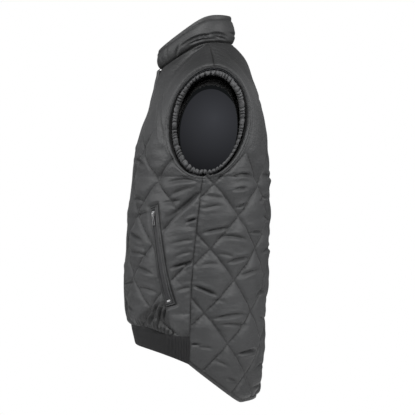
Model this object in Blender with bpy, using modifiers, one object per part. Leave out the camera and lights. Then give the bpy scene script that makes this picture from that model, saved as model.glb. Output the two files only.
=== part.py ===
"""Quilted thermal vest, hollow as it is worn. Metres, +Z up, front towards -Y, the wearer's left towards +X.

The origin is the middle of the neck base, where the wearer's shoulders hold it. Each panel is a wall lofted
between a plain inner section and a quilted outer one. The right half is the left half mirrored.
"""

import math
from collections import namedtuple

import bmesh
import bpy
import numpy as np
from mathutils import Matrix, Vector

# Cloth thicknesses and clearances
SEAM_GAP = 0.0004
SEAM_WALL = 0.003
PUFF = 0.0055
WALL = SEAM_WALL + PUFF
FLAT_SHARE = 0.15
PLAIN_SHARE = 0.55
LINING_WALL = 0.0012
LINING_GAP = 0.0020
COLLAR_WALL = 0.005
# The plain lining's cells, as how many of the quilted panel's cells they span across and up
FRONT_LINING_CELLS = (1, 2)
BACK_LINING_CELLS = (1, 3)

# Neckline: an oval in plan that rises from the throat to the shoulders
NECK_FRONT_Y = -0.0890
NECK_BACK_Y = 0.0737
NECK_HALF_WIDTH = 0.083
NECK_BACK_Z = 0.0065
NECK_SLOPE = 0.60
NECK_LEVEL_Y = 0.004
NECK_SOFT = 0.012
SHOULDER_ANGLE = 109.0
SHOULDER_BOW = 0.006
THROAT_MITRE = 8.0
SHOULDER_MITRE = 36.0
NAPE_MITRE = 24.0

# Collar's top edge, in the same terms as the neckline
COLLAR_FRONT_Y = -0.0915
COLLAR_BACK_Y = 0.0685
COLLAR_HALF_WIDTH = 0.076
COLLAR_BACK_Z = 0.0665
COLLAR_SLOPE = 0.70
COLLAR_LEVEL_Y = 0.014
COLLAR_BULGE = 0.003
COLLAR_ROUND = 0.0012

# Armhole: a leaning oval seen from the side
ARM_Y = 0.0185
ARM_Z = -0.169
ARM_HALF_WIDTH = 0.086
ARM_HALF_HEIGHT = 0.1185
ARM_LEAN = 0.10
ARM_TIP_X = 0.192
ARM_TUCK = 0.024
UNDERARM_Z = ARM_Z - ARM_HALF_HEIGHT

# Hems, as heights
FRONT_HEM_Z = -0.609
FRONT_HEM_DROP = 0.016
HEM_DROP_START = 0.55
HEM_DROP_SPAN = 0.35
RIB_FRONT_Z = -0.653
RIB_SIDE_DROP = 0.032
RIB_DROP_POWER = 3.5
RIB_WALL = 0.0035
RIB_INSET = 0.0035
RIB_PITCH = 0.0045
RIB_RELIEF = 0.0009
TAIL_Z = -0.773
TAIL_RISE = 0.088
TAIL_LEVEL_SHARE = 0.44
TAIL_POWER = 1.35
BINDING_WIDTH = 0.007
BINDING_WALL = 0.0055

# Quilting: squares on point
FRONT_QUILT_U = 0.1804
FRONT_QUILT_Z = -0.2952
BACK_QUILT_U = 0.0
BACK_QUILT_Z = -0.3034
BACK_QUILT_PULL = 0.0148
QUILT_PULL_REACH = 0.10
QUILT_HALF_WIDTH = 0.069
QUILT_HALF_HEIGHT = 0.068
CELLS_PER_HALF = 3
FRONT_QUILT_TOP = -0.175
BACK_QUILT_TOP = -0.215
QUILT_FADE = 0.07
SEAM_FADE = 0.030
FLAT_FADE = 0.020
QUILT_FULLNESS = 0.6
EDGE_FULLNESS = 0.5

# Front closure
ZIP_WIDTH = 0.007
ZIP_WALL = 0.002
ZIP_DEPTH = 0.0065
COLLAR_ZIP_DEPTH = 0.0046
COLLAR_ZIP_DROP = 0.002
ZIP_HEM_RISE = 0.002
FLAP_HALF_WIDTH = 0.030
FLAP_WALL = 0.0030
FLAP_EDGE = 0.0012
FLAP_TOP_Z = -0.057
FLAP_BOTTOM_Z = -0.603

# Side pocket, in cloth coordinates of the front panel: distance from the centre, height
POCKET_TOP_U = 0.183
POCKET_TOP_Z = -0.3575
POCKET_BOTTOM_U = 0.238
POCKET_BOTTOM_Z = -0.5515
POCKET_WIDTH = 0.024
POCKET_SLOT = 0.009
POCKET_SLOT_SHIFT = -0.002
POCKET_END = 0.008
POCKET_WALL = 0.0024
FLAT_MARGIN = QUILT_HALF_WIDTH / CELLS_PER_HALF

# Zip slider and its pull tab
SLIDER_WIDTH = 0.0070
SLIDER_LENGTH = 0.0110
SLIDER_HEIGHT = 0.0030
SLIDER_BEVEL = 0.0008
SLIDER_REST = 0.0088
STAPLE_HALF_LENGTH = 0.0030
STAPLE_WALL = 0.0013
AXIS_RISE = 0.0012
BRIDGE_CLEARANCE = 0.00105
TAB_WIDTH = 0.0058
TAB_EYE_WIDTH = 0.0022
TAB_EYE_LENGTH = 0.0043
TAB_HEAD = 0.0007
TAB_LENGTH = 0.0255
TAB_WALL = 0.0014
TAB_CORNER = 0.0015
TAB_DROOP = 4.0
STOP_LENGTH = 0.004
STOP_HEIGHT = 0.0022

# Gathered elastic ring inside each armhole
GATHERS = 44
RING_WAVE = 0.0016
RING_WAVE_LIFT = 0.5
# inward is measured from the armhole's edge, outward from the reference face; wave is the share of the gathers
RingPoint = namedtuple("RingPoint", "inward outward wave")
RING_SECTION = (
    RingPoint(0.0006, -0.0082, 0.0),
    RingPoint(0.0006, -0.0066, 0.0),
    RingPoint(0.0075, -0.0056, 0.6),
    RingPoint(0.0145, -0.0050, 1.0),
    RingPoint(0.0168, -0.0084, 1.0),
    RingPoint(0.0090, -0.0104, 0.4),
)

# A row runs from the centre line, straight across, to the side seam or the armhole. angle is the place on the
# armhole's oval, from its lowest point, and turn is how far the row has turned from +X when it gets there.
Row = namedtuple("Row", "level centre_y angle turn dip centre_reach edge_reach")
FRONT_ROWS = (
    Row(-0.700, -0.1395, 0, 90, 0.00, 0.320, 0.200),
    Row(-0.652, -0.1440, 0, 90, 0.00, 0.330, 0.208),
    Row(-0.614, -0.1545, 0, 90, 0.00, 0.340, 0.225),
    Row(-0.592, -0.1635, 0, 90, 0.00, 0.350, 0.240),
    Row(-0.555, -0.1670, 0, 90, 0.00, 0.357, 0.248),
    Row(-0.500, -0.1680, 0, 90, 0.00, 0.360, 0.255),
    Row(-0.438, -0.1635, 0, 90, 0.00, 0.360, 0.256),
    Row(-0.360, -0.1590, 0, 90, 0.00, 0.358, 0.256),
    Row(-0.2875, -0.1500, 0, 90, 0.00, 0.352, 0.256),
    Row(-0.262, -0.1475, 20, 87, 0.00, 0.340, 0.206),
    Row(-0.232, -0.1435, 42, 80, 0.00, 0.320, 0.163),
    Row(-0.184, -0.1310, 76, 66, 0.00, 0.282, 0.132),
    Row(-0.145, -0.1170, 104, 52, 0.00, 0.255, 0.130),
    Row(-0.099, -0.1050, 138, 38, -0.10, 0.235, 0.125),
    Row(-0.070, -0.1000, 160, 23, -0.24, 0.226, 0.122),
    Row(-0.0475, -0.0890, 180, 6, -0.40, 0.215, 0.120),
)
BACK_ROWS = (
    Row(-0.790, 0.1190, 0, 90, 0.00, 0.300, 0.215),
    Row(-0.755, 0.1315, 0, 90, 0.00, 0.310, 0.222),
    Row(-0.715, 0.1390, 0, 90, 0.00, 0.318, 0.230),
    Row(-0.650, 0.1430, 0, 90, 0.00, 0.332, 0.240),
    Row(-0.570, 0.1465, 0, 90, 0.00, 0.348, 0.250),
    Row(-0.500, 0.1510, 0, 90, 0.00, 0.355, 0.252),
    Row(-0.360, 0.1545, 0, 90, 0.00, 0.358, 0.250),
    Row(-0.2875, 0.1545, 0, 90, 0.00, 0.352, 0.236),
    Row(-0.265, 0.1535, 20, 87, 0.00, 0.342, 0.186),
    Row(-0.240, 0.1520, 42, 78, 0.00, 0.328, 0.145),
    Row(-0.190, 0.1480, 74, 66, 0.00, 0.300, 0.120),
    Row(-0.138, 0.1385, 102, 52, 0.00, 0.270, 0.130),
    Row(-0.072, 0.1195, 136, 38, -0.10, 0.245, 0.120),
    Row(-0.026, 0.1010, 160, 23, -0.24, 0.230, 0.120),
    Row(0.0065, 0.0737, 180, 6, -0.40, 0.215, 0.120),
)
SeamPoint = namedtuple("SeamPoint", "level x y")
SIDE_SEAM = (
    SeamPoint(-0.790, 0.186, -0.0270),
    SeamPoint(-0.715, 0.193, -0.0240),
    SeamPoint(-0.650, 0.200, -0.0215),
    SeamPoint(-0.600, 0.207, -0.0205),
    SeamPoint(-0.555, 0.210, -0.0190),
    SeamPoint(-0.500, 0.213, -0.0160),
    SeamPoint(-0.438, 0.214, -0.0110),
    SeamPoint(-0.360, 0.214, -0.0020),
    SeamPoint(-0.2875, 0.213, 0.00665),
)
# Soft folds pressed into the collar: place round the neck in degrees, share of its height, size and depth
CollarFold = namedtuple("CollarFold", "angle height half_angle half_height depth")
COLLAR_FOLDS = (
    CollarFold(88, 0.30, 22, 0.11, 0.0026),
    CollarFold(121, 0.42, 14, 0.10, 0.0020),
    CollarFold(34, 0.40, 9, 0.22, 0.0018),
    CollarFold(152, 0.30, 18, 0.10, 0.0018),
)

# Finer steps of the working
FAN_ROWS = 11
ROW_SAMPLES = 160
LEVEL_STEP = 0.002
PARAMETER_STEP = 0.004
CORNER_PARAMETER = 0.5
CORNER_COLUMN_SHARE = 0.54
RIDGE_BLEND = 0.12
YOKE_SHARE = 0.35
SHORTEST_CELL = 0.45
SHORTEST_HEM_CELL = 0.2
SHORTEST_FIRST_ROW = 0.3
COLLAR_STATIONS = 26
COLLAR_LEVELS = 5
COLLAR_MITRE_SHARE = 1 / 3
COLLAR_BULGE_SPAN = 1 / 1.1
FLAP_COLUMNS = 7
ZIP_STATIONS = 26
POCKET_STATIONS = 10
LATTICE_SPAN = 0.5
LATTICE_SAMPLES = 501
PROBE = 0.01
TINY = 1e-6
MERGE_DISTANCE = 0.00005
SHARP_ANGLE = math.radians(40)

Panel = namedtuple("Panel", "side rows top_z quilt_u quilt_z quilt_top quilt_pull start_u")
FRONT = Panel(-1, FRONT_ROWS, FRONT_ROWS[-1].level, FRONT_QUILT_U, FRONT_QUILT_Z, FRONT_QUILT_TOP, 0.0,
              ZIP_WIDTH / 2 + SEAM_GAP)
BACK = Panel(1, BACK_ROWS, BACK_ROWS[-1].level, BACK_QUILT_U, BACK_QUILT_Z, BACK_QUILT_TOP, BACK_QUILT_PULL, 0.0)

Finish = namedtuple("Finish", "colour roughness metallic")
SHELL = Finish((0.072, 0.073, 0.077, 1), 0.48, 0.0)
RIB = Finish((0.028, 0.028, 0.031, 1), 0.90, 0.0)
LINING = Finish((0.040, 0.043, 0.054, 1), 0.75, 0.0)
TAPE = Finish((0.030, 0.030, 0.033, 1), 0.70, 0.0)
METAL = Finish((0.60, 0.60, 0.61, 1), 0.30, 1.0)
TAB = Finish((0.025, 0.025, 0.027, 1), 0.45, 0.0)


def unit(vectors):
    """Vectors scaled to length one."""
    return vectors / np.linalg.norm(vectors, axis=-1, keepdims=True)


def ramp(value):
    """Smooth step from 0 to 1."""
    value = np.clip(value, 0.0, 1.0)
    return value * value * (3.0 - 2.0 * value)


def smooth(table, column, level):
    """A column of a table read at a level, on a smooth curve through its rows."""
    levels = np.array([row.level for row in table])
    values = np.array([getattr(row, column) for row in table], float)
    slopes = np.gradient(values, levels)
    level = np.clip(level, levels[0], levels[-1])
    k = np.clip(np.searchsorted(levels, level) - 1, 0, len(levels) - 2)
    span = levels[k + 1] - levels[k]
    t = (level - levels[k]) / span
    rise = t * t * (3 - 2 * t)
    return (values[k] * (1 - rise) + values[k + 1] * rise
            + span * t * (1 - t) * ((1 - t) * slopes[k] - t * slopes[k + 1]))


def hermite(start, start_pull, end, end_pull, t):
    """Points of a curve between two ends with given tangents."""
    t = np.asarray(t, float)[:, None]
    rise = t * t * (3 - 2 * t)
    return start * (1 - rise) + end * rise + t * (1 - t) * ((1 - t) * start_pull - t * end_pull)


def neck_oval(degrees, front_y, back_y, half_width, back_z, slope, level_y):
    """A point of the neckline or of the collar's top, 0 degrees at the throat and 180 at the nape."""
    a = np.radians(degrees)
    middle = (front_y + back_y) / 2
    y = middle - (back_y - front_y) / 2 * np.cos(a)
    z = back_z - slope * NECK_SOFT * np.log1p(np.exp((level_y - y) / NECK_SOFT))
    return np.stack([half_width * np.sin(a), y, z], -1)


def neckline(degrees):
    return neck_oval(degrees, NECK_FRONT_Y, NECK_BACK_Y, NECK_HALF_WIDTH, NECK_BACK_Z, NECK_SLOPE, NECK_LEVEL_Y)


def collar_top(degrees):
    return neck_oval(degrees, COLLAR_FRONT_Y, COLLAR_BACK_Y, COLLAR_HALF_WIDTH, COLLAR_BACK_Z, COLLAR_SLOPE,
                     COLLAR_LEVEL_Y)


def neck_out(degrees):
    """Level direction out of the neck's oval."""
    a = np.radians(degrees)
    depth = (NECK_BACK_Y - NECK_FRONT_Y) / 2
    out = np.stack([np.sin(a) * depth, -np.cos(a) * NECK_HALF_WIDTH, np.zeros_like(a)], -1)
    return unit(out)


def neck_mitre(degrees):
    """Direction through the thickness at the neck seam, shared by the panels and the collar."""
    lifts = [THROAT_MITRE, SHOULDER_MITRE, NAPE_MITRE]
    lift = np.radians(np.interp(degrees, [0, SHOULDER_ANGLE, 180], lifts))[..., None]
    return neck_out(degrees) * np.cos(lift) + np.array([0.0, 0.0, 1.0]) * np.sin(lift)


def armhole(angle, side):
    """A point of the armhole's edge, 0 degrees at the underarm and 180 at the shoulder tip."""
    a = np.radians(angle)
    z = ARM_Z - ARM_HALF_HEIGHT * np.cos(a)
    y = ARM_Y + ARM_LEAN * (z - ARM_Z) + side * ARM_HALF_WIDTH * np.sin(a)
    x = SIDE_SEAM[-1].x + (ARM_TIP_X - SIDE_SEAM[-1].x) * (1 - np.cos(a)) / 2 - ARM_TUCK * np.sin(a) ** 2
    return np.array([x, y, z])


def plain_row(panel, level, t):
    """A row before the neck and shoulder raise it."""
    if level <= UNDERARM_Z:
        edge = np.array([smooth(SIDE_SEAM, "x", level), smooth(SIDE_SEAM, "y", level), level])
    else:
        edge = armhole(smooth(panel.rows, "angle", level), panel.side)
    turn = math.radians(smooth(panel.rows, "turn", level))
    centre = np.array([0.0, smooth(panel.rows, "centre_y", level), level])
    centre_pull = np.array([smooth(panel.rows, "centre_reach", level), 0.0, 0.0])
    heading = np.array([math.cos(turn), -panel.side * math.sin(turn), smooth(panel.rows, "dip", level)])
    return hermite(centre, centre_pull, edge, heading * smooth(panel.rows, "edge_reach", level), t)


def top_row(panel, t):
    """The panel's upper edge: the neckline, then the shoulder seam out to its tip."""
    t = np.asarray(t, float)
    centre_angle = 0.0 if panel.side < 0 else 180.0
    round_neck = np.clip(t / CORNER_PARAMETER, 0, 1)
    along_shoulder = np.clip((t - CORNER_PARAMETER) / (1 - CORNER_PARAMETER), 0, 1)[:, None]
    neck = neckline(centre_angle + (SHOULDER_ANGLE - centre_angle) * round_neck)
    corner = neckline(np.array([SHOULDER_ANGLE]))
    bow = np.array([0.0, 0.0, SHOULDER_BOW]) * np.sin(np.pi * along_shoulder)
    shoulder = corner + (armhole(180, panel.side) - corner) * along_shoulder + bow
    return np.where((t > CORNER_PARAMETER)[:, None], shoulder, neck)


def row(panel, level, t):
    """Points of the panel's reference face at a level, t from 0 on the centre line to 1 on the edge."""
    points = plain_row(panel, level, t)
    yoke_z = panel.top_z + (UNDERARM_Z - panel.top_z) * (1 - YOKE_SHARE)
    weight = max(0.0, (level - yoke_z) / (panel.top_z - yoke_z)) ** 2
    if weight > 0:
        points = points + weight * (top_row(panel, t) - plain_row(panel, panel.top_z, t))
    return points


def row_lengths(panel, level):
    """Parameters along a row and the length of cloth from the centre line to each."""
    t = np.linspace(0, 1, ROW_SAMPLES)
    steps = np.linalg.norm(np.diff(row(panel, level, t), axis=0), axis=1)
    return t, np.concatenate([[0.0], np.cumsum(steps)])


def row_normals(panel, level, t):
    """Outward directions of the reference face along a row."""
    below = max(level - LEVEL_STEP, panel.rows[0].level)
    above = min(level + LEVEL_STEP, panel.top_z)
    near, far = np.clip(t - PARAMETER_STEP, 0, 1), np.clip(t + PARAMETER_STEP, 0, 1)
    across = row(panel, level, far) - row(panel, level, near)
    up = row(panel, above, t) - row(panel, below, t)
    normals = unit(np.cross(across, up) * -panel.side)
    normals[t <= TINY, 0] = 0.0
    if level <= UNDERARM_Z + TINY:
        normals[-1] = np.cross(np.array([0.0, 1.0, 0.0]), up[-1])
    return unit(normals)


def top_normals(panel, t):
    """Outward directions along the panel's upper edge, where it meets the collar and the other panel."""
    centre_angle = 0.0 if panel.side < 0 else 180.0
    angles = centre_angle + (SHOULDER_ANGLE - centre_angle) * np.clip(t / CORNER_PARAMETER, 0, 1)
    slope = armhole(180, panel.side) - neckline(np.array([SHOULDER_ANGLE]))[0]
    ridge = unit(np.array([-slope[2], 0.0, slope[0]]))
    share = ramp((t - CORNER_PARAMETER) / RIDGE_BLEND)[:, None]
    return unit(neck_mitre(angles) * (1 - share) + ridge * share)


def back_hem(share):
    """Height of the back panel's edge, above its binding."""
    return tail_hem(share) + BINDING_WIDTH


def front_hem(share):
    """Height of the front shell's lower edge, by the share of the way from the centre to the side seam."""
    return FRONT_HEM_Z - FRONT_HEM_DROP * ramp((share - HEM_DROP_START) / HEM_DROP_SPAN)


def rib_hem(share):
    """Height of the rib's lower edge, by the same share."""
    return RIB_FRONT_Z - RIB_SIDE_DROP * share ** RIB_DROP_POWER


def tail_hem(share):
    """Height of the tail's edge: level across the middle, then rising to the side seam."""
    climb = np.clip((share - TAIL_LEVEL_SHARE) / (1 - TAIL_LEVEL_SHARE), 0, 1)
    return TAIL_Z + TAIL_RISE * climb ** TAIL_POWER


def from_lattice(panel, across):
    """Cloth length from the centre line for a place on the quilting, whose middle squares are drawn narrower."""
    return across - panel.quilt_pull * ramp(across / QUILT_PULL_REACH)


def to_lattice(panel, u):
    """Place on the quilting for a cloth length from the centre line."""
    across = np.linspace(0, LATTICE_SPAN, LATTICE_SAMPLES)
    return np.interp(u, from_lattice(panel, across), across)


def puff(panel, u, z, edge_distance):
    """How far the padding swells at a place on the cloth, from 0 on a sewn line to 1."""
    across = (to_lattice(panel, u) - panel.quilt_u) / QUILT_HALF_WIDTH
    up = (z - panel.quilt_z) / QUILT_HALF_HEIGHT
    p, q = (across + up) / 2, (across - up) / 2
    quilted = (abs(math.sin(math.pi * p)) * abs(math.sin(math.pi * q))) ** QUILT_FULLNESS
    share = float(ramp((panel.quilt_top - z) / QUILT_FADE))
    swell = PLAIN_SHARE + (quilted - PLAIN_SHARE) * share
    swell *= FLAT_SHARE + (1 - FLAT_SHARE) * min(1.0, max(0.0, edge_distance) / SEAM_FADE) ** EDGE_FULLNESS
    if panel.side < 0:
        flat = min(abs(u) - FLAP_HALF_WIDTH, pocket_distance(u, z)) - FLAT_MARGIN
        swell = FLAT_SHARE + (swell - FLAT_SHARE) * float(ramp(flat / FLAT_FADE))
    return swell


def pocket_axes():
    """Start, unit direction down the zip and unit direction across it, in cloth coordinates."""
    start = np.array([POCKET_TOP_U, POCKET_TOP_Z])
    along = np.array([POCKET_BOTTOM_U, POCKET_BOTTOM_Z]) - start
    length = np.linalg.norm(along)
    along = along / length
    return start, along, np.array([-along[1], along[0]]), length


def pocket_distance(u, z):
    """Distance from a place on the cloth to the flat strip that the pocket lies on."""
    start, along, across, length = pocket_axes()
    place = np.array([u, z]) - start
    down = float(place @ along)
    beyond = max(-down - POCKET_END, down - length - POCKET_END, 0.0)
    return math.hypot(beyond, max(0.0, abs(float(place @ across)) - POCKET_WIDTH / 2))


def on_panel(panel, u, z, lift):
    """A point above the reference face by a lift, below the underarm, u from the centre line (either side)."""
    t, lengths = row_lengths(panel, z)
    place = np.array([np.interp(abs(u), lengths, t)])
    point = row(panel, z, place)[0] + row_normals(panel, z, np.append(place, 1.0))[0] * lift
    return point * np.array([-1.0 if u < 0 else 1.0, 1.0, 1.0])


def panel_levels(panel, step_z):
    """Heights of a panel's rows: the fan from the neck to the underarm, then rows that follow the quilting."""
    room = UNDERARM_Z - SHORTEST_FIRST_ROW * step_z - panel.quilt_z
    first_z = panel.quilt_z + step_z * math.floor(room / step_z)
    fan = np.linspace(panel.top_z, UNDERARM_Z, FAN_ROWS + 1)
    return [*fan, *np.arange(first_z, panel.rows[0].level, -step_z)]


def panel_columns(panel, first, end, step):
    """Cloth lengths of a row's points that follow the quilting."""
    return from_lattice(panel, np.arange(first, to_lattice(panel, end), step))


Net = namedtuple("Net", "points normals swell cells hem_u hem_z")


def panel_net(panel, hem, step_u, step_z):
    """Reference points, normals and swell of a half panel, and its triangles as point numbers."""
    spare_u = SHORTEST_CELL * step_u
    first_u = panel.quilt_u - step_u * math.floor((panel.quilt_u - panel.start_u - spare_u) / step_u)
    levels = panel_levels(panel, step_z)
    fan, lower = levels[:FAN_ROWS + 1], levels[FAN_ROWS + 1:]
    numbers, points, normals, swells = {}, [], [], []

    def add(key, point, normal, u, edge_distance):
        numbers[key] = len(points)
        points.append(point)
        normals.append(normal)
        swells.append(puff(panel, u, point[2], edge_distance))

    under_t, under_lengths = row_lengths(panel, UNDERARM_Z)
    inner_u = panel_columns(panel, first_u, under_lengths[-1] - spare_u, step_u)
    under_u = [panel.start_u, *inner_u, under_lengths[-1]]
    under_u = np.array(under_u)
    corner = round(CORNER_COLUMN_SHARE * (len(under_u) - 1))
    start_t = np.interp(panel.start_u, under_lengths, under_t)
    spread = np.arange(len(under_u))
    top_t = np.interp(spread, [0, corner, spread[-1]], [start_t, CORNER_PARAMETER, 1.0])
    for j, level in enumerate(fan):
        share = (level - UNDERARM_Z) / (panel.top_z - UNDERARM_Z)
        t = np.interp(under_u, under_lengths, under_t) * (1 - share) + top_t * share
        row_t, lengths = row_lengths(panel, level)
        t[0] = np.interp(panel.start_u, lengths, row_t)
        u = np.interp(t, row_t, lengths)
        row_points = row(panel, level, t)
        row_out = top_normals(panel, t) if j == 0 else row_normals(panel, level, t)
        for i in range(len(t)):
            add((j, i), row_points[i], row_out[i], u[i], min(lengths[-1] - u[i], panel.top_z - level))
    last_row, hem_u, hem_z = {}, [], []
    for k, level in enumerate(lower):
        j = FAN_ROWS + 1 + k
        row_t, lengths = row_lengths(panel, level)
        width = lengths[-1]
        places = [panel.start_u, *panel_columns(panel, first_u, width - spare_u, step_u), width]
        for i, u in enumerate(places):
            on_seam = i == len(places) - 1
            key = "seam" if on_seam else i
            if key in last_row:
                continue
            edge_z = hem(u / width)
            if level <= edge_z + SHORTEST_CELL * step_z:
                last_row[key] = j
                row_t, lengths = row_lengths(panel, edge_z)
                u = lengths[-1] if on_seam else min(u, lengths[-1] - SHORTEST_HEM_CELL * step_u)
                at_t, at_level = np.interp(u, lengths, row_t), edge_z
                hem_u.append(u)
                hem_z.append(edge_z)
            else:
                at_t, at_level = np.interp(u, lengths, row_t), level
            t = np.array([at_t, 1.0])
            normal = row_normals(panel, at_level, t)[1 if on_seam else 0]
            if i == 0:
                normal = unit(normal * np.array([0.0, 1.0, 1.0]))
            add((j, i), row(panel, at_level, t)[0], normal, u, min(lengths[-1] - u, (at_level - edge_z)))
    order = np.argsort(hem_u)
    return Net(np.array(points), np.array(normals), np.array(swells), net_cells(numbers, swells, panel.side),
               np.array(hem_u)[order], np.array(hem_z)[order])


def net_cells(numbers, swells, side):
    """Triangles between the points of a net, each square split along its lower diagonal to keep sewn lines sharp."""
    cells = []
    for j, i in numbers:
        keys = [(j, i), (j + 1, i), (j + 1, i + 1), (j, i + 1)]
        found = [numbers[key] for key in keys if key in numbers]
        if len(found) < 3:
            continue
        if len(found) == 3:
            cells.append(tuple(found))
            continue
        a, b, c, d = found
        if swells[a] + swells[c] < swells[b] + swells[d]:
            cells += [(a, b, c), (a, c, d)]
        else:
            cells += [(a, b, d), (b, c, d)]
    return cells if side > 0 else [cell[::-1] for cell in cells]


def grid_cells(rows, columns, closed=False, missing=()):
    """Squares of a plain grid whose points are numbered row by row."""
    cells = []
    for j in range(rows - 1):
        for i in range(columns if closed else columns - 1):
            if (j, i) in missing:
                continue
            n = (i + 1) % columns
            cells.append((j * columns + i, j * columns + n, (j + 1) * columns + n, (j + 1) * columns + i))
    return cells


def new_object(name, finish, collection):
    """An empty mesh object with its own material."""
    mesh = bpy.data.meshes.new(name)
    material = bpy.data.materials.new(name)
    material.use_nodes = True
    shader = material.node_tree.nodes["Principled BSDF"]
    shader.inputs["Base Color"].default_value = finish.colour
    shader.inputs["Roughness"].default_value = finish.roughness
    shader.inputs["Metallic"].default_value = finish.metallic
    mesh.materials.append(material)
    piece = bpy.data.objects.new(name, mesh)
    collection.objects.link(piece)
    return piece


def fill_mesh(piece, points, faces):
    """Put points and faces into an object, with every face turned outward."""
    bm = bmesh.new()
    verts = [bm.verts.new(point) for point in points]
    for face in faces:
        bm.faces.new([verts[k] for k in face])
    bmesh.ops.recalc_face_normals(bm, faces=bm.faces)
    bm.to_mesh(piece.data)
    bm.free()
    piece.data.shade_smooth()
    piece.data.set_sharp_from_angle(angle=SHARP_ANGLE)


def wall(name, outer, inner, cells, finish, mirrored=False, both_halves=False):
    """A closed wall lofted between an outer and an inner set of points with the same cells."""
    outer, inner = np.array(outer), np.array(inner)
    flip = np.array([-1.0, 1.0, 1.0])
    count = len(outer)
    faces = [tuple(cell) for cell in cells] + [tuple(k + count for k in cell[::-1]) for cell in cells]
    edges = {}
    for cell in cells:
        for a, b in zip(cell, cell[1:] + cell[:1]):
            edges[(a, b)] = True
    for a, b in edges:
        on_plane = both_halves and abs(outer[a][0]) < TINY and abs(outer[b][0]) < TINY
        if (b, a) not in edges and not on_plane:
            faces.append((b, a, a + count, b + count))
    points = np.concatenate([outer, inner])
    if mirrored:
        points = points * flip
    piece = new_object(name, finish, VEST)
    fill_mesh(piece, points, faces)
    if both_halves:
        mirror = piece.modifiers.new("other half", "MIRROR")
        mirror.merge_threshold = MERGE_DISTANCE
    return piece


def both_sides(name, outer, inner, cells, finish):
    """The left piece and its mirror image on the right."""
    for suffix, mirrored in (("left", False), ("right", True)):
        wall(f"{name}_{suffix}", outer, inner, cells, finish, mirrored)


def quilt_steps():
    """Spacing of a panel's points across and up, so that sewn lines run from point to point."""
    return QUILT_HALF_WIDTH / CELLS_PER_HALF, QUILT_HALF_HEIGHT / CELLS_PER_HALF


def make_panels():
    """Quilted fronts and back, each a swollen outer face over a plain inside."""
    for panel, hem in ((FRONT, front_hem), (BACK, back_hem)):
        net = panel_net(panel, hem, *quilt_steps())
        inner = net.points - net.normals * WALL
        outer = inner + net.normals * (SEAM_WALL + PUFF * net.swell)[:, None]
        inner, outer = with_seam_gap(panel, inner), with_seam_gap(panel, outer)
        if panel is FRONT:
            both_sides("front", outer, inner, net.cells, SHELL)
        else:
            wall("back", outer, inner, net.cells, SHELL, both_halves=True)


def with_seam_gap(panel, points):
    """Points of a panel drawn back from the seams that it shares with the other panel."""
    points = points.copy()
    points[:, 1] += panel.side * SEAM_GAP / 2
    return points


def make_linings():
    """Thin plain lining inside each panel."""
    step_u, step_z = quilt_steps()
    for panel, hem, cells in ((FRONT, front_hem, FRONT_LINING_CELLS), (BACK, back_hem, BACK_LINING_CELLS)):
        net = panel_net(panel, hem, step_u * cells[0], step_z * cells[1])
        outer = with_seam_gap(panel, net.points - net.normals * (WALL + LINING_GAP))
        inner = outer - net.normals * LINING_WALL
        if panel is FRONT:
            both_sides("lining_front", outer, inner, net.cells, LINING)
        else:
            wall("lining_back", outer, inner, net.cells, LINING, both_halves=True)


def make_collar():
    """Stand collar round the neckline, open at the throat for the zip, with its soft folds."""
    gap = math.degrees((ZIP_WIDTH / 2 + SEAM_GAP) / NECK_HALF_WIDTH)
    angles = np.linspace(gap, 180, COLLAR_STATIONS)
    base = neckline(angles) + np.array([0, 0, SEAM_GAP * 2])
    top = collar_top(angles)
    outer, inner = [], []
    for share in np.linspace(0, 1, COLLAR_LEVELS):
        middle = base + (top - base) * share
        bulge = np.full(len(angles), COLLAR_BULGE * math.sin(math.pi * min(1.0, share / COLLAR_BULGE_SPAN)))
        for fold in COLLAR_FOLDS:
            aside = (angles - fold.angle) / fold.half_angle
            above = (share - fold.height) / fold.half_height
            bulge -= fold.depth * np.exp(-aside ** 2 - above ** 2)
        mitre = float(ramp(1 - share / COLLAR_MITRE_SHARE))
        through = unit(neck_mitre(angles) * mitre + neck_out(angles) * (1 - mitre))
        round_off = COLLAR_ROUND if share == 1 else 0.0
        outer.append(middle + neck_out(angles) * bulge[:, None] - through * round_off)
        inner.append(middle - through * (COLLAR_WALL - round_off))
    points_out, points_in = np.concatenate(outer), np.concatenate(inner)
    points_out[::len(angles), 0] = points_in[::len(angles), 0] = ZIP_WIDTH / 2 + SEAM_GAP
    points_out[len(angles) - 1::len(angles), 0] = 0.0
    points_in[len(angles) - 1::len(angles), 0] = 0.0
    cells = grid_cells(COLLAR_LEVELS, len(angles))
    wall("collar", points_out, points_in, cells, SHELL, both_halves=True)


def make_ribs():
    """Rib-knit band under each front, its ribs raised in the outer points."""
    net = panel_net(FRONT, front_hem, *quilt_steps())
    ribs = int((net.hem_u[-1] - FRONT.start_u) / RIB_PITCH)
    shares = np.linspace(0, 1, 2 * ribs + 1)
    outer, inner = [], []
    for at_top in (True, False):
        for k, share in enumerate(shares):
            u = FRONT.start_u + (net.hem_u[-1] - FRONT.start_u) * share
            z = np.interp(u, net.hem_u, net.hem_z) - SEAM_GAP
            if not at_top:
                z = rib_hem(share)
                u = FRONT.start_u + (row_lengths(FRONT, z)[1][-1] - FRONT.start_u) * share
            lift = -RIB_INSET + (RIB_RELIEF if k % 2 else 0.0)
            outer.append(on_panel(FRONT, u, z, lift))
            inner.append(on_panel(FRONT, u, z, -RIB_INSET - RIB_WALL))
    outer, inner = with_seam_gap(FRONT, np.array(outer)), with_seam_gap(FRONT, np.array(inner))
    both_sides("rib", outer, inner, grid_cells(2, len(shares)), RIB)


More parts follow.
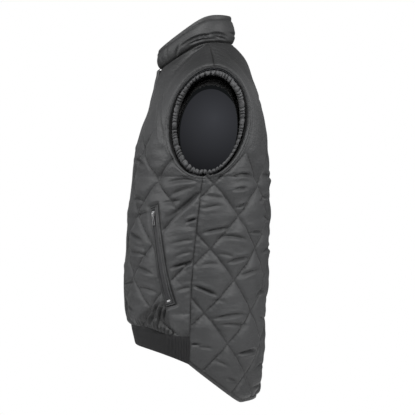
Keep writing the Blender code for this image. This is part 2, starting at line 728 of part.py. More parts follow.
def make_tail_binding():
    """Folded strip along the tail's edge, from side seam to side seam."""
    net = panel_net(BACK, back_hem, *quilt_steps())
    middle = -WALL + SEAM_WALL / 2 + FLAT_SHARE * PUFF / 2
    outer, inner = [], []
    for drop in (SEAM_GAP, BINDING_WIDTH):
        for u, z in zip(net.hem_u, net.hem_z):
            width = row_lengths(BACK, z - drop)[1][-1]
            place = width if u == net.hem_u[-1] else min(u, width)
            outer.append(on_panel(BACK, place, z - drop, middle + BINDING_WALL / 2))
            inner.append(on_panel(BACK, place, z - drop, middle - BINDING_WALL / 2))
    outer, inner = with_seam_gap(BACK, np.array(outer)), with_seam_gap(BACK, np.array(inner))
    for points in (outer, inner):
        points[::len(net.hem_u), 0] = 0.0
    wall("tail_binding", outer, inner, grid_cells(2, len(net.hem_u)), SHELL, both_halves=True)


def laid_lift():
    """Lift from the reference face to the underside of what lies on the flattened cloth of a front."""
    return -WALL + SEAM_WALL + FLAT_SHARE * PUFF + SEAM_GAP


def make_storm_flap():
    """Padded strip over the front zip, made from the fronts' points moved out."""
    base = laid_lift()
    outer, inner = [], []
    inside = [z for z in panel_levels(FRONT, quilt_steps()[1]) if FLAP_BOTTOM_Z < z < FLAP_TOP_Z]
    levels = [FLAP_TOP_Z, *inside, FLAP_BOTTOM_Z]
    places = np.linspace(-FLAP_HALF_WIDTH, FLAP_HALF_WIDTH, FLAP_COLUMNS)
    for z in levels:
        for u in places:
            edge = abs(abs(u) - FLAP_HALF_WIDTH) < TINY
            outer.append(on_panel(FRONT, u, z, base + FLAP_WALL - (FLAP_EDGE if edge else 0.0)))
            inner.append(on_panel(FRONT, u, z, base))
    wall("storm_flap", outer, inner, grid_cells(len(levels), len(places)), SHELL)


def collar_zip_head():
    """Upper end of the front zip, inside the collar's wall."""
    return collar_top(np.array([0.0]))[0] + np.array([0.0, COLLAR_ZIP_DEPTH, -COLLAR_ZIP_DROP])


def make_front_zip():
    """Tape and closed teeth between the fronts, from the rib's hem to the collar's top edge."""
    levels = np.linspace(RIB_FRONT_Z + ZIP_HEM_RISE, FRONT.top_z, ZIP_STATIONS)
    line = [on_panel(FRONT, 0.0, z, -ZIP_DEPTH) for z in levels]
    line.append(collar_zip_head())
    outer, inner = [], []
    for point in line:
        for x in (-ZIP_WIDTH / 2, ZIP_WIDTH / 2):
            outer.append(point + np.array([x, -ZIP_WALL / 2, 0.0]))
            inner.append(point + np.array([x, ZIP_WALL / 2, 0.0]))
    wall("front_zip", outer, inner, grid_cells(len(line), 2), TAPE)


def pocket_point(along, across, lift):
    """A point of the left pocket, along the zip from its upper end and across it."""
    start, along_axis, across_axis, _ = pocket_axes()
    u, z = start + along_axis * along + across_axis * across
    return on_panel(FRONT, u, z, lift)


def make_pockets():
    """Welt frame, zip tape and end stop of each side pocket, made from the front's points moved out."""
    length = pocket_axes()[3]
    slot_low, slot_high = POCKET_SLOT_SHIFT - POCKET_SLOT / 2, POCKET_SLOT_SHIFT + POCKET_SLOT / 2
    across = [-POCKET_WIDTH / 2, slot_low, slot_high, POCKET_WIDTH / 2]
    along = [-POCKET_END, *np.linspace(0, length, POCKET_STATIONS), length + POCKET_END]
    base = laid_lift()
    outer = [pocket_point(a, b, base + POCKET_WALL) for a in along for b in across]
    inner = [pocket_point(a, b, base) for a in along for b in across]
    slot = {(j, 1) for j in range(1, len(along) - 2)}
    both_sides("pocket_welt", outer, inner, grid_cells(len(along), len(across), missing=slot), SHELL)
    tape_across = [slot_low + SEAM_GAP, slot_high - SEAM_GAP]
    tape_along = np.linspace(SEAM_GAP, length - STOP_LENGTH - 2 * SEAM_GAP, POCKET_STATIONS)
    outer = [pocket_point(a, b, base + ZIP_WALL / 2) for a in tape_along for b in tape_across]
    inner = [pocket_point(a, b, base) for a in tape_along for b in tape_across]
    both_sides("pocket_zip", outer, inner, grid_cells(len(tape_along), 2), TAPE)
    stop_along = [length - STOP_LENGTH - SEAM_GAP, length - SEAM_GAP]
    outer = [pocket_point(a, b, base + STOP_HEIGHT) for a in stop_along for b in tape_across]
    inner = [pocket_point(a, b, base) for a in stop_along for b in tape_across]
    both_sides("pocket_stop", outer, inner, grid_cells(2, 2), METAL)


def box_mesh(bm, size, centre):
    """A box added to a mesh under construction."""
    bmesh.ops.create_cube(bm, size=1.0, matrix=Matrix.Translation(centre) @ Matrix.Diagonal((*size, 1.0)))


def fill_plate(piece, outline, depth):
    """A flat outline drawn out into a plate."""
    bm = bmesh.new()
    face = bm.faces.new([bm.verts.new(corner) for corner in outline])
    grown = bmesh.ops.extrude_face_region(bm, geom=[face])
    moved = [item for item in grown["geom"] if isinstance(item, bmesh.types.BMVert)]
    bmesh.ops.translate(bm, verts=moved, vec=depth)
    bmesh.ops.recalc_face_normals(bm, faces=bm.faces)
    bm.to_mesh(piece.data)
    bm.free()


def with_boolean(piece, other, operation):
    """Join or cut a piece with a hidden one."""
    other.hide_render = True
    other.display_type = "WIRE"
    change = piece.modifiers.new(operation.lower(), "BOOLEAN")
    change.operation = operation
    change.solver = "EXACT"
    change.object = other


def make_slider(name, frame):
    """Slider body with the staple that carries the tab, in a frame of across, along (down) and outward."""
    body = new_object(name, METAL, VEST)
    bm = bmesh.new()
    box_mesh(bm, (SLIDER_WIDTH, SLIDER_LENGTH, SLIDER_HEIGHT), (0, 0, SLIDER_HEIGHT / 2))
    bmesh.ops.bevel(bm, geom=bm.edges[:], offset=SLIDER_BEVEL, segments=1, affect="EDGES")
    bm.to_mesh(body.data)
    bm.free()
    foot = SLIDER_HEIGHT - STAPLE_WALL
    under = SLIDER_HEIGHT + AXIS_RISE + BRIDGE_CLEARANCE
    reach = STAPLE_HALF_LENGTH + STAPLE_WALL
    outline = [(-reach, foot), (-STAPLE_HALF_LENGTH, foot), (-STAPLE_HALF_LENGTH, under),
               (STAPLE_HALF_LENGTH, under), (STAPLE_HALF_LENGTH, foot), (reach, foot),
               (reach, under + STAPLE_WALL), (-reach, under + STAPLE_WALL)]
    staple = new_object(name + "_staple", METAL, CUTTERS)
    fill_plate(staple, [(-STAPLE_WALL / 2, y, z) for y, z in outline], (STAPLE_WALL, 0, 0))
    with_boolean(body, staple, "UNION")
    body.matrix_world = frame
    staple.matrix_world = frame


def make_tab(name, frame):
    """Pull tab whose head lies under the staple: its origin is on the hinge's axis, in the head."""
    tab = new_object(name, TAB, VEST)
    half = TAB_WIDTH / 2
    shoulder = TAB_LENGTH - TAB_CORNER
    outline = [(-half, -TAB_HEAD), (half, -TAB_HEAD), (half, shoulder), (half - TAB_CORNER, TAB_LENGTH),
               (-half + TAB_CORNER, TAB_LENGTH), (-half, shoulder)]
    fill_plate(tab, [(x, y, -TAB_WALL / 2) for x, y in outline], (0, 0, TAB_WALL))
    eye = new_object(name + "_eye", METAL, CUTTERS)
    bm = bmesh.new()
    box_mesh(bm, (TAB_EYE_WIDTH, TAB_EYE_LENGTH, TAB_WALL * 3), (0, TAB_HEAD + TAB_EYE_LENGTH / 2, 0))
    bm.to_mesh(eye.data)
    bm.free()
    with_boolean(tab, eye, "DIFFERENCE")
    tab.matrix_world = frame
    eye.matrix_world = frame


def frame_matrix(origin, along, outward):
    """A frame at a point: across, along and outward."""
    outward = Vector(outward).normalized()
    along = Vector(along)
    along = (along - outward * along.dot(outward)).normalized()
    across = along.cross(outward)
    turn = Matrix((across, along, outward)).transposed().to_4x4()
    return Matrix.Translation(Vector(origin)) @ turn


def make_pulls():
    """Sliders and tabs of the two pockets and of the front zip."""
    base = laid_lift() + ZIP_WALL / 2 + SEAM_GAP
    place = pocket_point(SLIDER_REST, POCKET_SLOT_SHIFT, base)
    along = pocket_point(SLIDER_REST + PROBE, POCKET_SLOT_SHIFT, base) - place
    outward = pocket_point(SLIDER_REST, POCKET_SLOT_SHIFT, base + PROBE) - place
    for suffix, flip in (("left", 1.0), ("right", -1.0)):
        turn = np.array([flip, 1.0, 1.0])
        frame = frame_matrix(place * turn, along * turn, outward * turn)
        make_slider(f"pocket_slider_{suffix}", frame)
        make_tab(f"pocket_tab_{suffix}", hinge_frame(frame))
    head = collar_zip_head()
    foot = on_panel(FRONT, 0.0, FRONT.top_z, -ZIP_DEPTH)
    down = unit(foot - head)
    outward = np.array([0.0, down[2], -down[1]])
    frame = frame_matrix(head + down * SLIDER_REST + outward * (ZIP_WALL / 2 + SEAM_GAP), down, outward)
    make_slider("front_slider", frame)
    make_tab("front_tab", hinge_frame(frame))


def hinge_frame(frame):
    """The tab's frame on a slider, drooping a little towards the cloth."""
    lift = Matrix.Translation((0, 0, SLIDER_HEIGHT + AXIS_RISE))
    return frame @ lift @ Matrix.Rotation(-math.radians(TAB_DROOP), 4, "X")


def between_corners(corners, stations):
    """Points on the straight stretches of a closed loop of corners."""
    corners = np.array(corners)
    first = np.floor(stations).astype(int)
    share = (stations - first)[:, None]
    return corners[first] * (1 - share) + corners[(first + 1) % len(corners)] * share


def make_armhole_rings():
    """Gathered elastic ring inside each armhole, hung on the armhole's edge."""
    corners, corner_outs = [], []
    for panel in (FRONT, BACK):
        levels = np.linspace(UNDERARM_Z, panel.top_z, FAN_ROWS + 1)
        tip = np.array([1.0])
        edge = [row(panel, level, tip)[0] for level in levels]
        outs = [row_normals(panel, level, tip)[0] for level in levels[:-1]] + [top_normals(panel, tip)[0]]
        if panel is BACK:
            edge, outs = edge[::-1], outs[::-1]
        corners += edge[:-1]
        corner_outs += outs[:-1]
    stations = np.arange(2 * GATHERS) * len(corners) / (2 * GATHERS)
    edges, outs = between_corners(corners, stations), unit(between_corners(corner_outs, stations))
    inward = edges.mean(axis=0) - edges
    inward = unit(inward - outs * np.sum(inward * outs, axis=1, keepdims=True))
    wave = np.where(np.arange(len(stations)) % 2, RING_WAVE, -RING_WAVE)
    rings = []
    for place in RING_SECTION:
        depths = place.inward + wave * place.wave
        lifts = place.outward + wave * place.wave * RING_WAVE_LIFT
        rings.append(edges + inward * depths[:, None] + outs * lifts[:, None])
    count, sides = len(stations), len(RING_SECTION)
    points = np.concatenate(rings + rings[:1])
    cells = grid_cells(sides + 1, count, closed=True)
    faces = [tuple(k % (count * sides) for k in cell) for cell in cells]
    for suffix, flip in (("left", 1.0), ("right", -1.0)):
        ring = new_object(f"armhole_ring_{suffix}", SHELL, VEST)
        fill_mesh(ring, points[:count * sides] * np.array([flip, 1.0, 1.0]), faces)


for old in list(bpy.data.objects):
    bpy.data.objects.remove(old, do_unlink=True)
VEST = bpy.data.collections.new("thermal_vest")
CUTTERS = bpy.data.collections.new("cutters")
bpy.context.scene.collection.children.link(VEST)
bpy.context.scene.collection.children.link(CUTTERS)

make_panels()
make_linings()
make_collar()
make_ribs()
make_tail_binding()
make_storm_flap()
make_front_zip()
make_pockets()
make_pulls()
make_armhole_rings()
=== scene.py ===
"""Looks of the quilted thermal vest, built around its frame.

Metres, +Z up, front towards -Y, the wearer's left towards +X.
"""

import math
from collections import namedtuple

import bmesh
import bpy
import numpy as np
from mathutils import Matrix, Vector


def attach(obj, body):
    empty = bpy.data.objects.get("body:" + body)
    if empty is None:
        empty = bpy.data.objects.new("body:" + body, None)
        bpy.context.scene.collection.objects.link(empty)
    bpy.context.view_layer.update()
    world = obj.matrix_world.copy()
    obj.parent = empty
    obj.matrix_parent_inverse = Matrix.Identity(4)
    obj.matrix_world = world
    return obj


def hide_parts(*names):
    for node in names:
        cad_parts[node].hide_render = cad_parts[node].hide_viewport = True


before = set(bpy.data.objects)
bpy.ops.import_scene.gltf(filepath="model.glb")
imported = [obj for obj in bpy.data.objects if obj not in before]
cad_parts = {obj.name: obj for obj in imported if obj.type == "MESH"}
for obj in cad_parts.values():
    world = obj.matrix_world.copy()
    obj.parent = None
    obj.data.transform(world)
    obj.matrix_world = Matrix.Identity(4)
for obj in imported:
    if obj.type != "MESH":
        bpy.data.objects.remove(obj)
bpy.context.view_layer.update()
MM = 0.001


def records(kind, *rows):
    """Rows of numbers as records of a kind."""
    return [kind(*row) for row in rows]


# Camera: the photograph's view, square on to the wearer's left side
CAMERA_DISTANCE = 4.5
VIEW_WIDTH = 0.913
SENSOR = 36.0
AIM = (0.0, 0.0165, -0.353)

# Cloth thicknesses and clearances, as in the frame, and the lap that closes the side and shoulder seams
SEAM_GAP = 0.0004
SEAM_LAP = 0.0001
SEAM_WALL = 0.003
PUFF = 0.0055
WALL = SEAM_WALL + PUFF
FLAT_SHARE = 0.15
PLAIN_SHARE = 0.55
# Lift from the reference face to the underside of what lies on a front's flattened cloth
LAID_LIFT = -WALL + SEAM_WALL + FLAT_SHARE * PUFF + SEAM_GAP
LINING_WALL = 0.0012
LINING_GAP = 0.0020
COLLAR_WALL = 0.005

# Neckline and collar
Oval = namedtuple("Oval", "front_y back_y half_width back_z slope level_y")
NECK = Oval(-0.0890, 0.0737, 0.083, 0.0065, 0.60, 0.004)
COLLAR_TOP = Oval(-0.0915, 0.0685, 0.076, 0.0665, 0.70, 0.014)
NECK_SOFT = 0.012
SHOULDER_ANGLE = 109.0
SHOULDER_BOW = 0.006
THROAT_MITRE = 8.0
SHOULDER_MITRE = 36.0
NAPE_MITRE = 24.0
COLLAR_BULGE = 0.0045
COLLAR_BULGE_SPAN = 1 / 1.1
COLLAR_MITRE_SHARE = 1 / 3
COLLAR_TUCK = 0.0015
COLLAR_TUCK_REACH = 0.003
COLLAR_DRIFT = 0.0005
COLLAR_DRIFT_FADE = 0.008
COLLAR_TOP_FADE = 0.15
COLLAR_CREASE_SHARE = 0.5
COLLAR_ARC = 0.00143
COLLAR_STATIONS = 361
COLLAR_LEVELS = 30
COLLAR_CAP = 5
COLLAR_INNER = 13

# Armhole
ARM_Y = 0.0185
ARM_Z = -0.169
ARM_HALF_WIDTH = 0.086
ARM_HALF_HEIGHT = 0.1185
ARM_LEAN = 0.10
ARM_TIP_X = 0.192
ARM_TUCK = 0.024
UNDERARM_Z = ARM_Z - ARM_HALF_HEIGHT
RIM_WIDTH = 0.0055
SECOND_RIM_WIDTH = 0.0065
RIM_HEIGHT = 0.0022
SECOND_RIM_HEIGHT = 0.0012

# Hems
FRONT_HEM_Z = -0.609
FRONT_HEM_DROP = 0.016
HEM_DROP_START = 0.55
HEM_DROP_SPAN = 0.35
RIB_FRONT_Z = -0.653
RIB_SIDE_DROP = 0.032
RIB_DROP_POWER = 3.5
RIB_INSET = 0.0035
RIB_PITCH = 0.0036
RIB_RELIEF = 0.0015
RIB_POINTS = 6
RIB_DRIFT = 0.0004
RIB_LAP = 0.0012
RIB_LAP_POWER = 8
RIB_ROUND = 0.7
# Painted shade in the valleys between the ribs
RIB_SHADE = 0.75
RIB_STRETCH = 1.15
# Section of the rib from its seam (0) to its hem (1) and back inside: place, depth in millimetres and share
# of the ribs' height
RIB_SECTION = (
    (0.0, 2.0, 0.3), (0.12, 1.0, 0.8), (0.25, 0.3, 1.0), (0.40, 0.0, 1.0), (0.55, 0.0, 1.0), (0.70, 0.0, 1.0),
    (0.85, 0.0, 1.0), (0.95, 0.3, 0.9), (0.99, 1.0, 0.5), (1.0, 1.8, 0.1), (0.99, 2.8, 0.0), (0.95, 3.5, 0.0),
    (0.50, 3.5, 0.0), (0.0, 3.5, 0.0),
)
TAIL_Z = -0.773
TAIL_RISE = 0.088
TAIL_LEVEL_SHARE = 0.44
TAIL_POWER = 1.35
BINDING_WIDTH = 0.007
BINDING_WALL = 0.0055
BINDING_LAP = 0.0018
BINDING_UNEVEN = 0.12
BINDING_MIDDLE = -WALL + SEAM_WALL / 2 + FLAT_SHARE * PUFF / 2
BINDING_SAMPLES = 161
# Section of the binding from its seam (0) to the edge (1), and its side of the cloth
BINDING_SECTION = (
    (-0.25, 0.72), (-0.20, 0.98), (0.20, 1.0), (0.50, 1.05), (0.75, 0.95), (0.92, 0.60), (1.0, 0.0),
    (0.92, -0.60), (0.75, -0.95), (0.20, -1.0), (-0.20, -0.98), (-0.25, -0.72),
)

# Quilting
FRONT_QUILT_U = 0.1804
FRONT_QUILT_Z = -0.2952
BACK_QUILT_U = 0.0
BACK_QUILT_Z = -0.3034
BACK_QUILT_PULL = 0.0148
QUILT_PULL_REACH = 0.10
QUILT_HALF_WIDTH = 0.069
QUILT_HALF_HEIGHT = 0.068
QUILT_SPACING = 2.0 / math.hypot(1 / QUILT_HALF_WIDTH, 1 / QUILT_HALF_HEIGHT)
FRONT_QUILT_TOP = -0.175
BACK_QUILT_TOP = -0.215
QUILT_FADE = 0.05
SEAM_FADE = 0.014
HEM_FADE = 0.008
ARM_FADE = 0.004
DOME = 0.015
GROOVE = 0.0035
GROOVE_SHARE = 0.42
LINE_SINK = 0.50
LINE_SOFT = 0.0012
FULLNESS = 1.30
PUCKER_PITCH = 0.0085
PUCKER_DEPTH = 0.0003
PUCKER_REACH = 0.008
PUCKER_SHIFT = 2.2
LINE_CROSS_REACH = 0.004
FREE_FADE = 0.010
DRIFT_HEIGHT = 0.0006
FOLD_HEIGHT = 0.0010
YOKE_STREAK = 0.0001
SEAM_WAVE = 0.0005
SEAM_WAVE_PITCH = 0.014
SEAM_WAVE_SHIFT = 2.5
SEAM_WAVE_PLACE = 0.006
CREASE_END = 0.60
CREASE_REACH = 0.25
CREASE_SCALE = 2.3
CREASE_WIDTH = 0.82
CREASE_BOW = 0.6
UPPER_WALL = 0.75
LOWER_WALL = 1.15
UPPER_LIP = 0.25
UPPER_LIP_PLACE = 2.1
UPPER_LIP_WIDTH = 1.3
LOWER_LIP = 0.45
LOWER_LIP_PLACE = -2.6
LOWER_LIP_WIDTH = 1.5
# Painted shade: shares by which the cloth's colour is darkened toward black where shade falls, in sewn lines,
# seams, creases and gathers, beside the hem and the armhole's rim, over the shoulder (yoke) and towards the
# tail's bottom; COLLAR_SHADE darkens the whole collar and BINDING_SHADE the whole binding
LINE_SHADE_WIDTH = 0.0036
LINE_SHADE = 0.52
SEAM_SHADE_WIDTH = 0.0020
NECK_SHADE_WIDTH = 0.0042
SEAM_SHADE = 0.62
NECK_SHADE = 0.95
COLLAR_SHADE = 0.36
BINDING_SHADE = 0.35
HEM_SHADE = 0.45
HEM_SHADE_WIDTH = 0.007
ARM_SHADE = 0.36
CREASE_SHADE = 0.50
CREASE_SHADE_PLACE = 0.2
FULL_CREASE = 2.4
GATHER_SHADE = 0.93
YOKE_SHADE = 0.60
TAIL_SHADE = 0.40
TAIL_SHADE_LOW = -0.78
TAIL_SHADE_HIGH = -0.58
YOKE_SHADE_LOW = -0.110
YOKE_SHADE_HIGH = -0.030
CROSS_FADE = 0.85
CROSS_FADE_TOP = -0.340
CROSS_FADE_REACH = 0.03
NECK_BEAD = 0.0009
NECK_BEAD_WIDTH = 0.006
GATHER_START = 0.095
GATHER_END = 0.238
GATHER_SLOPE = 0.60
GATHER_PITCH = 0.0085
GATHER_LEAN = 0.4
GATHER_REACH = 0.022
GATHER_HEIGHT = 0.0045
GATHER_FADE_IN = 0.012
GATHER_FADE_OUT = 0.010
GATHER_SHIFT = 2.6
GATHER_UNEVEN = 0.5
GATHER_TUCK = 0.001
GATHER_POWER = 0.6
GATHER_SINK = 0.7
# Painted shade in the gathers: darkest in their valleys, lighter over their ridges
GATHER_DARK = 0.95
GATHER_LIGHT = 0.35
GATHER_FOLD_WIDTH = 0.6
GATHER_SHADE_FADE = 0.008
BAG_HEIGHT = 0.0035
BAG_FADE = 0.012
BAG_REACH = 0.05
LINING_SLACK = 0.0012
LINING_FADE = 0.02
TOPSTITCH_DEPTH = 0.0018
TOPSTITCH_WIDTH = 0.0016
TOPSTITCH_DROP = 0.010

# Front closure
ZIP_WIDTH = 0.007
ZIP_WALL = 0.002
ZIP_DEPTH = 0.0065
COLLAR_ZIP_DEPTH = 0.0046
COLLAR_ZIP_DROP = 0.002
ZIP_HEM_RISE = 0.002
FLAP_HALF_WIDTH = 0.030
FLAP_WALL = 0.0030
FLAP_TOP_Z = -0.0515
FLAP_BOTTOM_Z = -0.603
FLAP_TOP_LIFT = 0.0045
FLAP_LIFT_REACH = 0.022
FLAP_EDGE_WALL = 0.0012
FLAP_EDGE_ROUND = 0.0022
FLAP_END_START = 0.0005
FLAP_END_ROUND = 0.002
FLAP_STITCH_INSET = 0.006
FLAP_GROOVE_WIDTH = 0.0013
FLAP_DRIFT = 0.0007
FLAP_DRIFT_START = 0.007
FLAP_DRIFT_FADE = 0.006
FLAP_STATIONS = 240
FLAP_COLUMNS = 33
TAPE_WALL = 0.0008
TOOTH_PITCH = 0.0025
TOOTH_WIDTH = 0.0034
TOOTH_HEIGHT = 0.0012
TOOTH_OFFSET = 0.22
TOOTH_SHARE = 0.62
TOOTH_TAPER = (0.8, 0.6, 1.0)
ZIP_SAMPLES = 120

# Side pocket, in cloth coordinates of the front
POCKET_TOP_U = 0.183
POCKET_TOP_Z = -0.3575
POCKET_BOTTOM_U = 0.238
POCKET_BOTTOM_Z = -0.5515
POCKET_LENGTH = math.hypot(POCKET_BOTTOM_U - POCKET_TOP_U, POCKET_BOTTOM_Z - POCKET_TOP_Z)
POCKET_WIDTH = 0.024
POCKET_SLOT = 0.009
POCKET_SLOT_SHIFT = -0.002
POCKET_END = 0.008
POCKET_WALL = 0.0024
WELT_STATIONS = 90
WELT_UNEVEN = 0.18
# Section of the welt from the slot's edge (0) to its outer edge (1): place, height in millimetres and painted
# shade
WELT_SECTION = (
    (0.0, 0.0, 0.6), (0.0, 1.2, 0.6), (0.08, 2.6, 0.2), (0.20, 3.2, 0.0), (0.34, 3.0, 0.0), (0.44, 1.6, 0.4),
    (0.52, 1.0, 0.7), (0.60, 1.8, 0.3), (0.72, 2.8, 0.0), (0.84, 2.6, 0.0), (0.95, 1.2, 0.5), (1.0, 0.0, 0.7),
)
FLAT_MARGIN = 0.0005
FLAT_FADE = 0.009

# Zip slider and its pull tab
SLIDER_WIDTH = 0.0070
SLIDER_LENGTH = 0.0110
SLIDER_HEIGHT = 0.0030
SLIDER_REST = 0.0088
STAPLE_HALF_LENGTH = 0.0030
STAPLE_WALL = 0.0013
STAPLE_POINTS = 25
STAPLE_POWER = 0.6
WING_TAPER = 0.72
LOW_WING_BEVEL = 0.35
TOP_WING_BEVEL = 0.45
CORE_WIDTH = 0.55
CORE_LENGTH = 0.8
CORE_LAP = 0.1
AXIS_RISE = 0.0012
BRIDGE_CLEARANCE = 0.00105
TAB_WIDTH = 0.0058
TAB_EYE_LENGTH = 0.0043
TAB_HEAD = 0.0007
TAB_LENGTH = 0.0255
TAB_WALL = 0.0014
TAB_DROOP = 4.0
TAB_POINTS = 64
TAB_POWER = 0.18
GRIP_LAP = 0.4
GRIP_END_LAP = 0.3
GRIP_WALL = 0.85
GRIP_BEVEL = 0.4
STOP_LENGTH = 0.004
STOP_HEIGHT = 0.0022
STOP_BEVEL = 0.0007

# Gathered elastic ring inside each armhole. inward is measured from the armhole's edge, outward from the
# reference face, gather is the share of the gathers' height, and shade is the painted shade of the dark
# channel and the ring's inner side.
GATHERS = 60
RING_STATIONS = 720
RING_SAMPLES = 200
RING_AROUND = 0.1
RING_SHIFT = 2.6
RING_UNEVEN = 0.6
RING_POWER = 0.6
RING_SINK = 0.75
RING_TWIST = 0.20
RING_TWIST_RATE = 1.3
RING_TWIST_SHIFT = 500
RING_INWARD = 0.7
# Painted shade between the ring's gathers
RING_FOLD_WIDTH = 0.25
RING_FOLD_SHADE = 0.7
RING_UP_START = 0.2
RING_UP_SPAN = 0.5
RING_WAVE = 0.0046
RING_START = 0.0060
RING_DROP = 0.0055
RING_FULL = 1.25
RING_SWELL = 0.50
RING_FULLNESS = 1.4
RING_STRIP = 0.026
RING_SWELL_PLACE = math.radians(215)
RingPoint = namedtuple("RingPoint", "inward outward gather shade")
RING_SECTION = records(
    RingPoint,
    (0.0006, -0.0088, 0.0, 0.95), (0.0006, -0.0064, 0.0, 0.95), (0.0014, -0.0110, 0.0, 0.95),
    (0.0026, -0.0180, 0.0, 0.95), (0.0048, -0.0190, 0.1, 0.95), (0.0060, -0.0130, 0.4, 0.60),
    (0.0068, -0.0085, 0.8, 0.0), (0.0084, -0.0056, 1.0, 0.0), (0.0106, -0.0046, 1.0, 0.0),
    (0.0124, -0.0058, 1.0, 0.0), (0.0136, -0.0090, 1.0, 0.25), (0.0136, -0.0128, 0.9, 0.80),
    (0.0124, -0.0160, 0.6, 0.95), (0.0096, -0.0196, 0.3, 0.95), (0.0060, -0.0215, 0.1, 0.95),
    (0.0022, -0.0190, 0.0, 0.95),
)

Row = namedtuple("Row", "level centre_y angle turn dip centre_reach edge_reach")
FRONT_ROWS = records(
    Row,
    (-0.700, -0.1395, 0, 90, 0.00, 0.320, 0.200), (-0.652, -0.1440, 0, 90, 0.00, 0.330, 0.208),
    (-0.614, -0.1545, 0, 90, 0.00, 0.340, 0.225), (-0.592, -0.1635, 0, 90, 0.00, 0.350, 0.240),
    (-0.555, -0.1670, 0, 90, 0.00, 0.357, 0.248), (-0.500, -0.1680, 0, 90, 0.00, 0.360, 0.255),
    (-0.438, -0.1635, 0, 90, 0.00, 0.360, 0.256), (-0.360, -0.1590, 0, 90, 0.00, 0.358, 0.256),
    (-0.2875, -0.1500, 0, 90, 0.00, 0.352, 0.256), (-0.262, -0.1475, 20, 87, 0.00, 0.340, 0.206),
    (-0.232, -0.1435, 42, 80, 0.00, 0.320, 0.163), (-0.184, -0.1310, 76, 66, 0.00, 0.282, 0.132),
    (-0.145, -0.1170, 104, 52, 0.00, 0.255, 0.130), (-0.099, -0.1050, 138, 38, -0.10, 0.235, 0.125),
    (-0.070, -0.1000, 160, 23, -0.24, 0.226, 0.122), (-0.0475, -0.0890, 180, 6, -0.40, 0.215, 0.120),
)
BACK_ROWS = records(
    Row,
    (-0.790, 0.1190, 0, 90, 0.00, 0.300, 0.215), (-0.755, 0.1315, 0, 90, 0.00, 0.310, 0.222),
    (-0.715, 0.1390, 0, 90, 0.00, 0.318, 0.230), (-0.650, 0.1430, 0, 90, 0.00, 0.332, 0.240),
    (-0.570, 0.1465, 0, 90, 0.00, 0.348, 0.250), (-0.500, 0.1510, 0, 90, 0.00, 0.355, 0.252),
    (-0.360, 0.1545, 0, 90, 0.00, 0.358, 0.250), (-0.2875, 0.1545, 0, 90, 0.00, 0.352, 0.236),
    (-0.265, 0.1535, 20, 87, 0.00, 0.342, 0.186), (-0.240, 0.1520, 42, 78, 0.00, 0.328, 0.145),
    (-0.190, 0.1480, 74, 66, 0.00, 0.300, 0.120), (-0.138, 0.1385, 102, 52, 0.00, 0.270, 0.130),
    (-0.072, 0.1195, 136, 38, -0.10, 0.245, 0.120), (-0.026, 0.1010, 160, 23, -0.24, 0.230, 0.120),
    (0.0065, 0.0737, 180, 6, -0.40, 0.215, 0.120),
)
SeamPoint = namedtuple("SeamPoint", "level x y")
SIDE_SEAM = records(
    SeamPoint,
    (-0.790, 0.186, -0.0270), (-0.715, 0.193, -0.0240), (-0.650, 0.200, -0.0215), (-0.600, 0.207, -0.0205),
    (-0.555, 0.210, -0.0190), (-0.500, 0.213, -0.0160), (-0.438, 0.214, -0.0110), (-0.360, 0.214, -0.0020),
    (-0.2875, 0.213, 0.00665),
)

